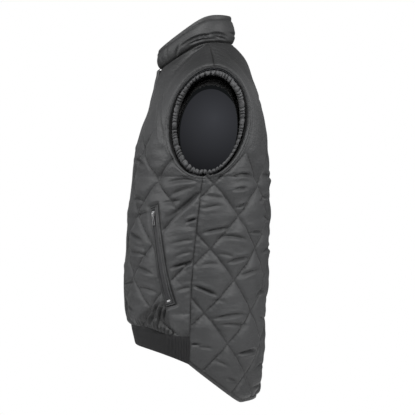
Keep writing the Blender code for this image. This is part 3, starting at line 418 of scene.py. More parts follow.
# Creases in cloth coordinates, in millimetres: both ends, half width, depth and bow. The left side follows
# the photograph, and the right side has its own of the same kind.
Crease = namedtuple("Crease", "u1 z1 u2 z2 half_width depth bow")
BACK_CREASES = records(
    Crease,
    (212, -285, 164, -285, 3.6, 2.4, 4), (216, -316, 178, -312, 3.6, 1.7, 3),
    (202, -353, 168, -345, 3.2, 2.4, 2), (284, -328, 236, -335, 5.0, 1.1, 3),
    (285, -356, 246, -348, 4.0, 1.3, 2), (284, -407, 214, -396, 4.2, 2.1, 4),
    (234, -414, 168, -421, 4.2, 1.8, 6), (151, -406, 96, -405, 4.0, 1.9, 3),
    (246, -450, 210, -455, 4.0, 1.2, 2), (216, -468, 156, -459, 4.2, 2.5, 3),
    (275, -473, 246, -471, 3.6, 1.2, 2), (292, -517, 240, -537, 4.0, 2.4, 2),
    (254, -547, 217, -551, 3.8, 0.9, 2), (243, -588, 152, -579, 4.0, 2.0, 5),
    (225, -600, 146, -605, 4.0, 1.8, 4), (169, -497, 122, -486, 4.0, 1.9, 2),
    (160, -666, 94, -660, 3.8, 2.8, 4), (221, -678, 188, -689, 4.0, 1.3, 2),
    (290, -643, 264, -640, 3.4, 2.2, 1), (268, -646, 232, -650, 4.2, 1.2, 2),
    (193, -714, 152, -725, 4.0, 1.5, 2), (150, -12, 96, -36, 4.0, 0.7, 3),
    (168, -22, 128, -60, 4.0, 0.8, 4), (184, -34, 156, -84, 4.0, 0.7, 4),
    (98, -6, 66, -46, 4.5, 0.5, 3), (104, -3, 72, -12, 4.0, 0.6, 2),
    (120, -338, 62, -330, 4.0, 1.8, 4), (90, -372, 34, -380, 4.2, 2.0, 4),
    (86, -448, 24, -440, 4.2, 2.0, 5), (110, -540, 52, -533, 4.0, 2.1, 4),
    (84, -590, 26, -600, 4.0, 1.9, 4), (90, -700, 32, -692, 4.2, 1.5, 4),
    (84, -742, 34, -738, 3.6, 1.0, 3), (88, -282, 28, -288, 4.4, 1.7, 4),
    (-30, -352, -88, -344, 4.2, 2.0, 4), (-46, -400, -112, -408, 4.0, 2.2, 5),
    (-92, -300, -150, -306, 4.0, 1.6, 4), (-160, -330, -216, -322, 3.8, 2.2, 3),
    (-198, -372, -262, -366, 4.2, 1.8, 4), (-232, -436, -288, -444, 4.0, 2.3, 4),
    (-150, -452, -214, -444, 4.2, 2.0, 4), (-30, -500, -90, -508, 4.2, 1.9, 4),
    (-120, -510, -176, -502, 4.0, 2.2, 4), (-196, -560, -262, -553, 4.0, 2.0, 4),
    (-104, -590, -170, -598, 4.0, 2.3, 5), (-212, -622, -280, -616, 3.8, 2.0, 4),
    (-30, -646, -96, -640, 4.2, 2.1, 4), (-130, -676, -190, -684, 4.0, 1.9, 4),
    (-98, -30, -152, -10, 4.0, 0.7, 3), (-130, -64, -170, -24, 4.0, 0.8, 4),
    (-60, -50, -96, -8, 4.5, 0.5, 3), (60, -110, -30, -128, 7.0, 0.6, 6),
    (-40, -96, -120, -120, 7.0, 0.6, 6),
)
FRONT_CREASES = records(
    Crease,
    (270, -383, 293, -376, 3.2, 2.6, 2), (244, -479, 291, -468, 3.8, 2.6, 3),
    (214, -342, 250, -338, 4.5, 1.6, 2), (226, -372, 284, -326, 6.0, 2.0, -3),
    (80, -408, 140, -422, 4.4, 2.0, 3), (122, -478, 192, -492, 4.4, 1.8, 4),
    (140, -521, 205, -533, 4.4, 1.5, 4), (222, -329, 283, -307, 5.0, 1.3, 4),
    (220, -299, 282, -295, 5.0, 1.5, 4), (243, -428, 288, -421, 4.2, 1.2, 3),
    (252, -455, 290, -445, 4.2, 1.2, 3), (258, -527, 288, -520, 4.0, 1.3, 2),
    (118, -112, 160, -158, 5.0, 1.3, 4), (160, -158, 206, -216, 4.6, 1.9, -3),
    (100, -448, 170, -457, 4.4, 1.6, 4), (70, -330, 132, -338, 4.4, 1.6, 4),
    (96, -372, 160, -364, 4.4, 1.5, 4), (50, -520, 112, -514, 4.4, 1.6, 4),
    (64, -566, 122, -574, 4.4, 1.5, 4), (60, -250, 128, -262, 5.0, 1.4, 5),
    (150, -606, 180, -576, 3.2, 2.0, 2), (178, -602, 208, -556, 4.6, 3.4, 3),
    (202, -600, 222, -560, 3.4, 2.6, 2), (219, -590, 233, -546, 3.0, 2.6, -2),
    (-92, -404, -156, -414, 4.2, 2.0, 4), (-124, -468, -190, -460, 4.2, 1.9, 4),
    (-60, -336, -124, -328, 4.4, 1.6, 4), (-216, -310, -280, -300, 4.8, 1.7, 4),
    (-244, -408, -290, -416, 3.8, 2.2, 3), (-250, -470, -292, -462, 3.8, 2.2, 3),
    (-230, -352, -286, -344, 4.6, 1.8, 3), (-262, -512, -290, -520, 3.6, 1.5, 2),
    (-140, -530, -206, -522, 4.2, 1.7, 4), (-56, -512, -116, -522, 4.2, 1.6, 4),
    (-70, -574, -130, -566, 4.2, 1.5, 4), (-96, -372, -150, -380, 4.2, 1.4, 4),
    (-166, -160, -204, -212, 4.6, 1.7, 3), (-120, -118, -160, -150, 5.0, 1.3, 4),
    (-64, -262, -132, -252, 5.0, 1.3, 5), (-146, -604, -170, -580, 3.2, 2.0, 2),
    (-172, -602, -204, -562, 4.4, 3.2, 3), (-198, -602, -216, -556, 3.4, 2.6, 2),
    (-222, -594, -232, -552, 3.0, 2.4, -2),
)
# Creases of the collar in the same way: round from the throat by the wearer's left, and up from its seam
COLLAR_CREASES = records(
    Crease,
    (100, 15, 160, 12, 2.8, 3.4, 6), (154, 15, 204, 12, 2.6, 3.0, 7),
    (112, 10, 178, 6, 2.4, 2.0, -2), (168, 11, 204, 5, 2.2, 1.8, 1),
    (61, 38, 57, 5, 4.0, 1.8, 1), (92, 19, 82, 1, 3.2, 2.2, 1),
    (28, 34, 42, 8, 4.0, 1.2, 1), (218, 20, 268, 15, 3.0, 2.2, 3),
    (294, 12, 352, 18, 2.8, 2.8, 5), (330, 22, 396, 16, 2.8, 3.0, 5),
    (374, 8, 424, 13, 2.6, 1.8, 2), (454, 37, 460, 6, 4.0, 1.8, 1),
    (484, 30, 474, 8, 4.0, 1.2, 1),
)

# Uneven fields: seed, length of the waves, and how far they are drawn out along the first coordinate. The
# fields of a panel add its own seed, and those of the right ring add one.
Field = namedtuple("Field", "seed wavelength stretch", defaults=[1.0])
PUCKER_FIELDS = (Field(1, 0.05), Field(2, 0.05))
FOLD_FIELD = Field(3, 0.030, 3.0)
DRIFT_FIELD = Field(4, 0.075)
SEAM_FIELD = Field(5, 0.06)
GATHER_FIELD = Field(6, 0.05)
GATHER_REACH_FIELD = Field(7, 0.02)
STREAK_FIELD = Field(8, 0.009, 9.0)
LINING_FIELD = Field(40, 0.09)
COLLAR_FIELD = Field(51, 0.035, 2.0)
FLAP_FIELD = Field(61, 0.045, 2.0)
WELT_FIELD = Field(71, 0.03)
RING_FIELD = Field(81, 0.05)
RING_STRENGTH_FIELD = Field(83, 0.04)
RIB_FIELD = Field(91, 0.05)
BINDING_FIELD = Field(95, 0.02)
DRIFT_WAVES = 9
DRIFT_SPREAD = (0.7, 1.6)

# Finer steps of the working
LEVEL_STEP = 0.002
PARAMETER_STEP = 0.004
CORNER_PARAMETER = 0.5
CORNER_COLUMN_SHARE = 0.54
RIDGE_BLEND = 0.12
YOKE_SOFT = 0.22
YOKE_SAMPLES = 9
YOKE_SHARE = 0.35
FAN_STEPS = 11
EDGE_CLUSTER = 1.25
FRONT_COLUMNS = 221
BACK_COLUMNS = 129
LINING_COLUMNS = 41
FRONT_CELLS = (164, 232)
BACK_CELLS = (128, 220)
FRONT_LINING_CELLS = (30, 44)
BACK_LINING_CELLS = (32, 56)
PANEL_STRIDE = 4
LINING_STRIDE = 2
ARM_SAMPLES = 260
NECK_SAMPLES = 160
PROBE = 0.01
STITCH_PITCH = 0.0034
STITCH_LENGTH = 0.0026
THREAD = 0.00035
THREAD_LIFT = THREAD * 0.4
LINE_STEP = STITCH_PITCH / 1.42
LINES_ASIDE = 8
SEWN_SHARE = 0.5
ARM_STITCHES = 220
COLLAR_STITCHES = 500
COLLAR_STITCH_START = 6.0
FLAP_STITCHES = 400
FLAP_STITCH_TOP = 0.02
FLAP_STITCH_BOTTOM = 0.004
BINDING_STITCHES = 200
BINDING_STITCH_SHARE = 0.25
WELT_STITCHES = 120
WELT_STITCH_HEIGHT = 0.55
WELT_STITCH_END = 0.72
WELT_STITCH_SIDE = 0.44
TACK_STITCHES = 40
TACK_SIDE = 0.42
TACK_TOP = 0.4
TACK_BOTTOM = 0.22
CUT_ROWS = 60
LENGTH_LEVELS = 240
LENGTH_SAMPLES = 161
LATTICE_SPAN = 0.5
LATTICE_SAMPLES = 501
CLOTH_SHARP = 50.0
FOLD_SHARP = 70.0
STITCH_SHARP = 60.0
TOOTH_SHARP = 30.0
PLATE_SHARP = 35.0
TINY = 1e-6

Panel = namedtuple("Panel", "side rows top_z quilt_u quilt_z quilt_top quilt_pull start_u creases seed")
FRONT = Panel(-1, FRONT_ROWS, FRONT_ROWS[-1].level, FRONT_QUILT_U, FRONT_QUILT_Z, FRONT_QUILT_TOP, 0.0,
              ZIP_WIDTH / 2 + SEAM_GAP, FRONT_CREASES, 10)
BACK = Panel(1, BACK_ROWS, BACK_ROWS[-1].level, BACK_QUILT_U, BACK_QUILT_Z, BACK_QUILT_TOP, BACK_QUILT_PULL,
             0.0, BACK_CREASES, 20)

# Looks
Look = namedtuple("Look", "dark light roughness sheen weave bump wrinkle")
NYLON = Look((0.034, 0.035, 0.036), (0.050, 0.051, 0.053), 0.55, 0.06, 900.0, 0.10, 0.45)
KNIT = Look((0.008, 0.008, 0.009), (0.016, 0.016, 0.017), 0.88, 0.08, 420.0, 0.35, 0.0)
RING = Look((0.050, 0.051, 0.053), (0.074, 0.075, 0.078), 0.60, 0.08, 900.0, 0.10, 0.5)
LINING = Look((0.012, 0.013, 0.016), (0.018, 0.020, 0.024), 0.70, 0.10, 700.0, 0.10, 0.2)
TAPE = Look((0.026, 0.026, 0.028), (0.040, 0.040, 0.043), 0.75, 0.10, 500.0, 0.30, 0.0)
THREAD_LOOK = Look((0.036, 0.036, 0.038), (0.052, 0.052, 0.055), 0.60, 0.10, 1500.0, 0.20, 0.0)
HardLook = namedtuple("HardLook", "colour metallic roughness wear")
PLATED = HardLook((0.60, 0.60, 0.61), 1.0, 0.32, 0.25)
BRIGHT = HardLook((0.80, 0.80, 0.81), 0.4, 0.30, 0.10)
MOULDED = HardLook((0.020, 0.020, 0.022), 0.0, 0.45, 0.30)
COIL = HardLook((0.055, 0.055, 0.058), 0.0, 0.42, 0.30)
GLOSS_SPREAD = (-0.06, 0.08)
HARD_GLOSS_SPREAD = (0.8, 1.3)
WRINKLE_SQUEEZE = (1.0, 1.0, 2.6)

# Light and stage
WORLD_LIGHT = 0.05
LIGHTS = (
    ("key_box", (1.7, -0.1, 1.20), 0.7, 41.0),
    ("front_box", (0.7, -1.9, 0.5), 1.2, 26.0),
    ("back_box", (0.7, 1.9, 0.5), 1.2, 30.0),
)
FLOOR_RADIUS = 1.15
FLOOR_Z = -0.95
FLOOR_COLOUR = (0.80, 0.80, 0.80)
FLOOR_GLOW = (0.20, 0.20, 0.20)
# Far-off glowing cards: the dark one is painted shade seen through the armholes, the oval one painted light
# and shade of the far lining, brightest at its middle
CARD_DISTANCE = 28.0
CARD_WIDTH = 1.24
CARD_HEIGHT = 1.75
CARD_Y = 0.02
CARD_Z = 0.905
CARD_SHADE_GLOW = (0.0060, 0.0068, 0.0075)
DOME_CARD_DISTANCE = 27.5
DOME_CARD_WIDTH = 0.97
DOME_CARD_HEIGHT = 1.42
DOME_CARD_Y = 0.071
DOME_CARD_Z = 0.79
DOME_CARD_PAINTED_GLOW = (0.0325, 0.0337, 0.0388)
DOME_CARD_MIDDLE = (0.25, -0.05, 0.0)
DOME_CARD_PAINTED_LIGHT = (0.10, 1.35)
CIRCLE_POINTS = 96


# Small helpers

def unit(vectors):
    """Vectors scaled to length one."""
    return vectors / np.linalg.norm(vectors, axis=-1, keepdims=True)


def ramp(value):
    """Smooth step from 0 to 1."""
    value = np.clip(value, 0.0, 1.0)
    return value * value * (3.0 - 2.0 * value)


def hump(value):
    """Half a sine from 0 to 1 and back, nothing outside."""
    return np.where((value > 0) & (value < 1), np.sin(np.pi * np.clip(value, 0, 1)), 0.0)


def bell(distance, width):
    """1 at no distance, falling smoothly to nothing over a few widths."""
    return np.exp(-(distance / width) ** 2)


def squared(value, power):
    """A sine or cosine with its curve drawn towards a square."""
    return np.sign(value) * np.abs(value) ** power


def alike(*values):
    """Arrays of numbers, spread to one shape."""
    return np.broadcast_arrays(*(np.asarray(value, float) for value in values))


def lengths_along(path):
    """Length along a line of points, at each of them."""
    return np.concatenate([[0.0], np.cumsum(np.linalg.norm(np.diff(path, axis=0), axis=1))])


def points_at(path, lengths, places):
    """Points of a line at lengths along it."""
    return np.stack([np.interp(places, lengths, path[:, k]) for k in range(3)], -1)


def drift(a, b, field, seed=0):
    """A smooth uneven field of about -1 to 1 over two coordinates."""
    draws = np.random.default_rng(seed + field.seed)
    total = np.zeros(np.broadcast(a, b).shape)
    for _ in range(DRIFT_WAVES):
        angle = draws.uniform(0, 2 * np.pi)
        rate = 2 * np.pi / (field.wavelength * draws.uniform(*DRIFT_SPREAD))
        phase = draws.uniform(0, 2 * np.pi)
        total += np.sin((a * np.cos(angle) / field.stretch + b * np.sin(angle)) * rate + phase)
    return total / math.sqrt(DRIFT_WAVES)


def read(table, column, level):
    """A column of a table read at levels, on a smooth curve through its rows."""
    levels = np.array([row.level for row in table])
    values = np.array([getattr(row, column) for row in table], float)
    slopes = np.gradient(values, levels)
    level = np.clip(level, levels[0], levels[-1])
    k = np.clip(np.searchsorted(levels, level) - 1, 0, len(levels) - 2)
    span = levels[k + 1] - levels[k]
    t = (level - levels[k]) / span
    rise = ramp(t)
    return (values[k] * (1 - rise) + values[k + 1] * rise
            + span * t * (1 - t) * ((1 - t) * slopes[k] - t * slopes[k + 1]))


# Surfaces of the frame

def oval_points(oval, degrees):
    """Points of the neckline or of the collar's top, 0 degrees at the throat and 180 at the nape."""
    a = np.radians(degrees)
    y = (oval.front_y + oval.back_y) / 2 - (oval.back_y - oval.front_y) / 2 * np.cos(a)
    z = oval.back_z - oval.slope * NECK_SOFT * np.log1p(np.exp((oval.level_y - y) / NECK_SOFT))
    return np.stack([oval.half_width * np.sin(a), y, z], -1)


def neck_out(degrees):
    """Level directions out of the neck's oval."""
    a = np.radians(degrees)
    depth = (NECK.back_y - NECK.front_y) / 2
    return unit(np.stack([np.sin(a) * depth, -np.cos(a) * NECK.half_width, np.zeros_like(a)], -1))


def neck_mitre(degrees):
    """Directions through the thickness at the neck seam."""
    from_throat = 180.0 - np.abs(degrees - 180.0)
    lifts = [THROAT_MITRE, SHOULDER_MITRE, NAPE_MITRE]
    lift = np.radians(np.interp(from_throat, [0, SHOULDER_ANGLE, 180], lifts))[..., None]
    return neck_out(degrees) * np.cos(lift) + np.array([0.0, 0.0, 1.0]) * np.sin(lift)


def armhole(angle, side):
    """Points of the armhole's edge, 0 degrees at the underarm and 180 at the shoulder tip."""
    a = np.radians(angle)
    z = ARM_Z - ARM_HALF_HEIGHT * np.cos(a)
    y = ARM_Y + ARM_LEAN * (z - ARM_Z) + side * ARM_HALF_WIDTH * np.sin(a)
    x = SIDE_SEAM[-1].x + (ARM_TIP_X - SIDE_SEAM[-1].x) * (1 - np.cos(a)) / 2 - ARM_TUCK * np.sin(a) ** 2
    return np.stack([x, y, z], -1)


def plain_surface(panel, level, t):
    """A panel before the neck and shoulder raise it."""
    level, t = alike(level, t)
    centre_y, angle, turn, dip, centre_reach, edge_reach = (
        read(panel.rows, column, level) for column in Row._fields[1:])
    seam_x, seam_y = (read(SIDE_SEAM, column, level) for column in SeamPoint._fields[1:])
    below = (level <= UNDERARM_Z)[..., None]
    edge = np.where(below, np.stack([seam_x, seam_y, level], -1), armhole(angle, panel.side))
    turn = np.radians(turn)
    flat = np.zeros_like(level)
    centre = np.stack([flat, centre_y, level], -1)
    centre_pull = np.stack([centre_reach, flat, flat], -1)
    edge_pull = np.stack([np.cos(turn), -panel.side * np.sin(turn), dip], -1) * edge_reach[..., None]
    t = t[..., None]
    rise = ramp(t)
    return centre * (1 - rise) + edge * rise + t * (1 - t) * ((1 - t) * centre_pull - t * edge_pull)


def neck_angles(panel, t):
    """Angles round the neck along a panel's upper edge, held at the neck's corner by the shoulder seam."""
    centre_angle = 0.0 if panel.side < 0 else 180.0
    return centre_angle + (SHOULDER_ANGLE - centre_angle) * np.clip(t / CORNER_PARAMETER, 0, 1)


def shoulder_line(panel):
    """The neck's corner, and the way from it to the shoulder tip."""
    corner = oval_points(NECK, np.array(SHOULDER_ANGLE))
    return corner, armhole(np.array(180.0), panel.side) - corner


def top_edge(panel, t):
    """The panel's upper edge: the neckline, then the shoulder seam out to its tip."""
    corner, slope = shoulder_line(panel)
    along = np.clip((t - CORNER_PARAMETER) / (1 - CORNER_PARAMETER), 0, 1)[..., None]
    shoulder = corner + slope * along + np.array([0.0, 0.0, SHOULDER_BOW]) * np.sin(np.pi * along)
    return np.where((t > CORNER_PARAMETER)[..., None], shoulder, oval_points(NECK, neck_angles(panel, t)))


def yoke_raise(panel, t):
    """How far the neckline and the shoulder seam raise the panel's upper edge."""
    return top_edge(panel, t) - plain_surface(panel, np.full_like(t, panel.top_z), t)


def surface(panel, level, t):
    """Points of a panel's reference face, t from 0 on the centre line to 1 on the edge."""
    level, t = alike(level, t)
    yoke_z = panel.top_z + (UNDERARM_Z - panel.top_z) * (1 - YOKE_SHARE)
    rise = np.maximum(0.0, (level - yoke_z) / (panel.top_z - yoke_z))
    spread = np.minimum(YOKE_SOFT * (1 - rise), np.minimum(t, 1 - t))
    shares = np.linspace(-1, 1, YOKE_SAMPLES)
    raised = np.mean([yoke_raise(panel, t + spread * share) for share in shares], axis=0)
    return plain_surface(panel, level, t) + rise[..., None] ** 2 * raised


def top_out(panel, t):
    """Outward directions along the panel's upper edge."""
    slope = shoulder_line(panel)[1]
    ridge = unit(np.array([-slope[2], 0.0, slope[0]]))
    share = ramp((t - CORNER_PARAMETER) / RIDGE_BLEND)[..., None]
    return unit(neck_mitre(neck_angles(panel, t)) * (1 - share) + ridge * share)


def face_out(panel, level, t):
    """Outward directions of the reference face."""
    level, t = alike(level, t)
    below = np.maximum(level - LEVEL_STEP, panel.rows[0].level)
    above = np.minimum(level + LEVEL_STEP, panel.top_z)
    across = (surface(panel, level, np.clip(t + PARAMETER_STEP, 0, 1))
              - surface(panel, level, np.clip(t - PARAMETER_STEP, 0, 1)))
    up = surface(panel, above, t) - surface(panel, below, t)
    out = np.cross(across, up) * -panel.side
    out[..., 0] = np.where(t <= TINY, 0.0, out[..., 0])
    step = (panel.top_z - UNDERARM_Z) / FAN_STEPS
    near_top = np.clip(1 - (panel.top_z - level) / step, 0, 1)[..., None]
    return unit(unit(out) * (1 - near_top) + top_out(panel, t) * near_top)


Lengths = namedtuple("Lengths", "levels lengths parameters")


def measure(panel):
    """Tables of the cloth's length from the centre line, by level and parameter, and the other way round."""
    levels = np.linspace(panel.rows[0].level, panel.top_z, LENGTH_LEVELS)
    t = np.linspace(0, 1, LENGTH_SAMPLES)
    points = surface(panel, levels[:, None], t[None, :])
    steps = np.linalg.norm(np.diff(points, axis=1), axis=-1)
    lengths = np.concatenate([np.zeros((len(levels), 1)), np.cumsum(steps, axis=1)], axis=1)
    parameters = np.array([np.interp(t * row[-1], row, t) for row in lengths])
    return Lengths(levels, lengths, parameters)


LENGTHS = {panel.side: measure(panel) for panel in (FRONT, BACK)}


def look_up(table, levels, level, share):
    """A table of levels by shares read between its entries."""
    rows = np.clip((level - levels[0]) / (levels[1] - levels[0]), 0, len(levels) - 1 - TINY)
    columns = np.clip(share * (table.shape[1] - 1), 0, table.shape[1] - 1 - TINY)
    j, i = rows.astype(int), columns.astype(int)
    y, x = rows - j, columns - i
    return ((table[j, i] * (1 - x) + table[j, i + 1] * x) * (1 - y)
            + (table[j + 1, i] * (1 - x) + table[j + 1, i + 1] * x) * y)


def width_at(panel, level):
    """Length of cloth from the centre line to the edge."""
    measured = LENGTHS[panel.side]
    return np.interp(level, measured.levels, measured.lengths[:, -1])


def length_at(panel, level, t):
    measured = LENGTHS[panel.side]
    level, t = alike(level, t)
    return look_up(measured.lengths, measured.levels, level, t)


def parameter_at(panel, level, u):
    measured = LENGTHS[panel.side]
    level, u = alike(level, u)
    return look_up(measured.parameters, measured.levels, level, u / width_at(panel, level))


def back_hem(share):
    """Height of the back panel's edge, above its binding."""
    return tail_hem(share) + BINDING_WIDTH


def front_hem(share):
    """Height of the front shell's lower edge, by the share of the way to the side seam."""
    return FRONT_HEM_Z - FRONT_HEM_DROP * ramp((share - HEM_DROP_START) / HEM_DROP_SPAN)


def rib_hem(share):
    """Height of the rib's lower edge, by the same share."""
    return RIB_FRONT_Z - RIB_SIDE_DROP * share ** RIB_DROP_POWER


def tail_hem(share):
    """Height of the tail's edge: level across the middle, then rising to the side seam."""
    climb = np.clip((share - TAIL_LEVEL_SHARE) / (1 - TAIL_LEVEL_SHARE), 0, 1)
    return TAIL_Z + TAIL_RISE * climb ** TAIL_POWER


def on_panel(panel, u, z, lift):
    """Points above the reference face by a lift, below the underarm, u from the centre line (either side)."""
    u, z, lift = alike(u, z, lift)
    t = parameter_at(panel, z, np.abs(u))
    points = surface(panel, z, t) + face_out(panel, z, t) * lift[..., None]
    points[..., 0] *= np.where(u < 0, -1.0, 1.0)
    return points


def pocket_axes():
    """Start, unit direction down the zip and unit direction across it, in cloth coordinates."""
    start = np.array([POCKET_TOP_U, POCKET_TOP_Z])
    along = (np.array([POCKET_BOTTOM_U, POCKET_BOTTOM_Z]) - start) / POCKET_LENGTH
    return start, along, np.array([-along[1], along[0]])


def pocket_place(u, z):
    """How far places on the cloth lie down a pocket's zip, and aside from it, towards the side seam."""
    start, along, across = pocket_axes()
    u, z = np.abs(u) - start[0], z - start[1]
    return u * along[0] + z * along[1], u * across[0] + z * across[1]


def pocket_distance(u, z):
    """Distance from places on the cloth to the flat strip that the pocket lies on."""
    down, aside = pocket_place(u, z)
    beyond = np.maximum(np.maximum(-down, down - POCKET_LENGTH) - POCKET_END, 0.0)
    return np.hypot(beyond, np.maximum(0.0, np.abs(aside) - POCKET_WIDTH / 2))


# Meshes

def add_object(name, data, place=(0, 0, 0)):
    """An object in the scene."""
    made = bpy.data.objects.new(name, data)
    made.location = place
    bpy.context.scene.collection.objects.link(made)
    return made


def finished_mesh(name, bm):
    """A mesh made from an editable one, which is then let go."""
    mesh = bpy.data.meshes.new(name)
    bm.to_mesh(mesh)
    bm.free()
    return mesh


def smooth(mesh, sharp):
    """Shade a mesh smoothly, apart from edges sharper than an angle."""
    mesh.shade_smooth()
    mesh.set_sharp_from_angle(angle=math.radians(sharp))


def outward(points, faces):
    """Faces of a closed skin, turned so that they all point out of it."""
    a, b, c = points[faces[:, 0]], points[faces[:, 1]], points[faces[:, 2]]
    d = points[np.where(faces[:, 3] < 0, faces[:, 2], faces[:, 3])]
    volume = np.sum(a * np.cross(b, c)) + np.sum(a * np.cross(c, d))
    if volume > 0:
        return faces
    back = faces[:, ::-1].copy()
    triangles = faces[:, 3] < 0
    back[triangles] = np.concatenate([faces[triangles, 2::-1], faces[triangles, 3:]], axis=1)
    return back


def add_mesh(name, points, faces, uv=None, sharp=CLOTH_SHARP):
    """A closed mesh object from arrays, in which a face's last number is -1 if it is a triangle."""
    points = np.asarray(points, float).reshape(-1, 3)
    faces = outward(points, faces)
    counts = np.where(faces[:, 3] < 0, 3, 4)
    loops = faces.reshape(-1)
    loops = loops[loops >= 0]
    mesh = bpy.data.meshes.new(name)
    mesh.vertices.add(len(points))
    mesh.vertices.foreach_set("co", points.ravel())
    mesh.loops.add(len(loops))
    mesh.loops.foreach_set("vertex_index", loops)
    mesh.polygons.add(len(faces))
    mesh.polygons.foreach_set("loop_start", np.concatenate([[0], np.cumsum(counts)[:-1]]))
    mesh.update(calc_edges=True)
    if uv is not None:
        layer = mesh.uv_layers.new(name="cloth")
        layer.uv.foreach_set("vector", np.asarray(uv, float).reshape(-1, 2)[loops].ravel())
    mesh.validate()
    smooth(mesh, sharp)
    return add_object(name, mesh)


def grid_faces(rows, columns):
    """Squares of a grid whose points are numbered row by row."""
    j, i = np.meshgrid(np.arange(rows - 1), np.arange(columns - 1), indexing="ij")
    corner = j * columns + i
    return np.stack([corner, corner + columns, corner + columns + 1, corner + 1], -1).reshape(-1, 4)


def border(rows, columns):
    """Point numbers round a grid's edge, in order."""
    top = np.arange(columns)
    right = np.arange(1, rows) * columns + columns - 1
    bottom = (rows - 1) * columns + np.arange(columns - 2, -1, -1)
    left = np.arange(rows - 2, 0, -1) * columns
    return np.concatenate([top, right, bottom, left])


def rim_faces(dense, coarse, stride):
    """Triangles between a border and one with every stride-th of its points."""
    faces = []
    half = stride // 2
    for k in range(len(coarse)):
        here, after = coarse[k], coarse[(k + 1) % len(coarse)]
        for step in range(stride):
            a = dense[(k * stride + step) % len(dense)]
            b = dense[(k * stride + step + 1) % len(dense)]
            faces.append((a, b, here if step < half else after, -1))
        faces.append((dense[(k * stride + half) % len(dense)], after, here, -1))
    return np.array(faces)


def shell(name, outer, inner, uv, stride):
    """A closed wall between a fine outer grid and an inner grid of every stride-th point."""
    rows, columns = outer.shape[:2]
    thin = inner[::stride, ::stride]
    front = grid_faces(rows, columns)
    back = grid_faces(*thin.shape[:2])[:, ::-1] + rows * columns
    thin_edge = border(*thin.shape[:2]) + rows * columns
    faces = np.concatenate([front, back, rim_faces(border(rows, columns), thin_edge, stride)])
    points = np.concatenate([outer.reshape(-1, 3), thin.reshape(-1, 3)])
    both_uv = np.concatenate([uv.reshape(-1, 2), uv[::stride, ::stride].reshape(-1, 2)])
    return add_mesh(name, points, faces, both_uv)


def loft(name, rings, closed=False, sharp=CLOTH_SHARP):
    """A skin through rings of points, an even number in each, with capped ends unless the path is closed."""
    stations, sides = rings.shape[:2]
    j, i = np.meshgrid(np.arange(stations if closed else stations - 1), np.arange(sides), indexing="ij")
    after, beside = (j + 1) % stations, (i + 1) % sides
    faces = np.stack([j * sides + i, j * sides + beside, after * sides + beside, after * sides + i], -1)
    faces = faces.reshape(-1, 4)
    if not closed:
        k = np.arange(sides // 2 - 1)
        cap = np.stack([k, k + 1, sides - 2 - k, sides - 1 - k], -1)
        faces = np.concatenate([faces, cap[:, ::-1], cap + (stations - 1) * sides])
    return add_mesh(name, rings, faces, sharp=sharp)


def many(name, shape, faces, centres, axes, sharp=TOOTH_SHARP):
    """Copies of a small shape, one at each centre, along three axes given for each."""
    points = centres[:, None, :] + np.einsum("pk,nkc->npc", shape, axes)
    shifts = np.arange(len(centres))[:, None, None] * len(shape)
    numbers = np.where(faces[None] < 0, -1, faces[None] + shifts)
    return add_mesh(name, points, numbers.reshape(-1, 4), sharp=sharp)


def tube(name, path, radius, across, closed=False, sides=8):
    """A round wire along a path that lies square to one direction."""
    path = np.asarray(path, float)
    along = unit(np.roll(path, -1, 0) - np.roll(path, 1, 0)) if closed else unit(np.gradient(path, axis=0))
    across = np.broadcast_to(np.asarray(across, float), path.shape)
    beside = np.cross(along, across)
    turn = np.linspace(0, 2 * np.pi, sides, endpoint=False)
    rings = (path[:, None] + radius * (np.cos(turn)[None, :, None] * across[:, None]
                                       + np.sin(turn)[None, :, None] * beside[:, None]))
    return loft(name, rings, closed)


def plate(name, outline, low, high, bevel, segments=2):
    """A flat outline drawn out from a low to a high level, with rounded edges."""
    bm = bmesh.new()
    face = bm.faces.new([bm.verts.new((x, y, low)) for x, y in outline])
    grown = bmesh.ops.extrude_face_region(bm, geom=[face])
    moved = [item for item in grown["geom"] if isinstance(item, bmesh.types.BMVert)]
    bmesh.ops.translate(bm, verts=moved, vec=(0, 0, high - low))
    bmesh.ops.recalc_face_normals(bm, faces=bm.faces)
    bmesh.ops.bevel(bm, geom=bm.edges[:], offset=bevel, segments=segments, affect="EDGES")
    mesh = finished_mesh(name, bm)
    smooth(mesh, PLATE_SHARP)
    return add_object(name, mesh)


def placed(piece, matrix):
    """A piece moved by a matrix, in its mesh."""
    piece.data.transform(matrix)
    return piece


def joined(name, pieces):
    """Several pieces made into one."""
    bm = bmesh.new()
    for piece in pieces:
        bm.from_mesh(piece.data)
    whole = add_object(name, finished_mesh(name, bm))
    for piece in pieces:
        bpy.data.objects.remove(piece)
    return whole


# Relief of the quilted cloth

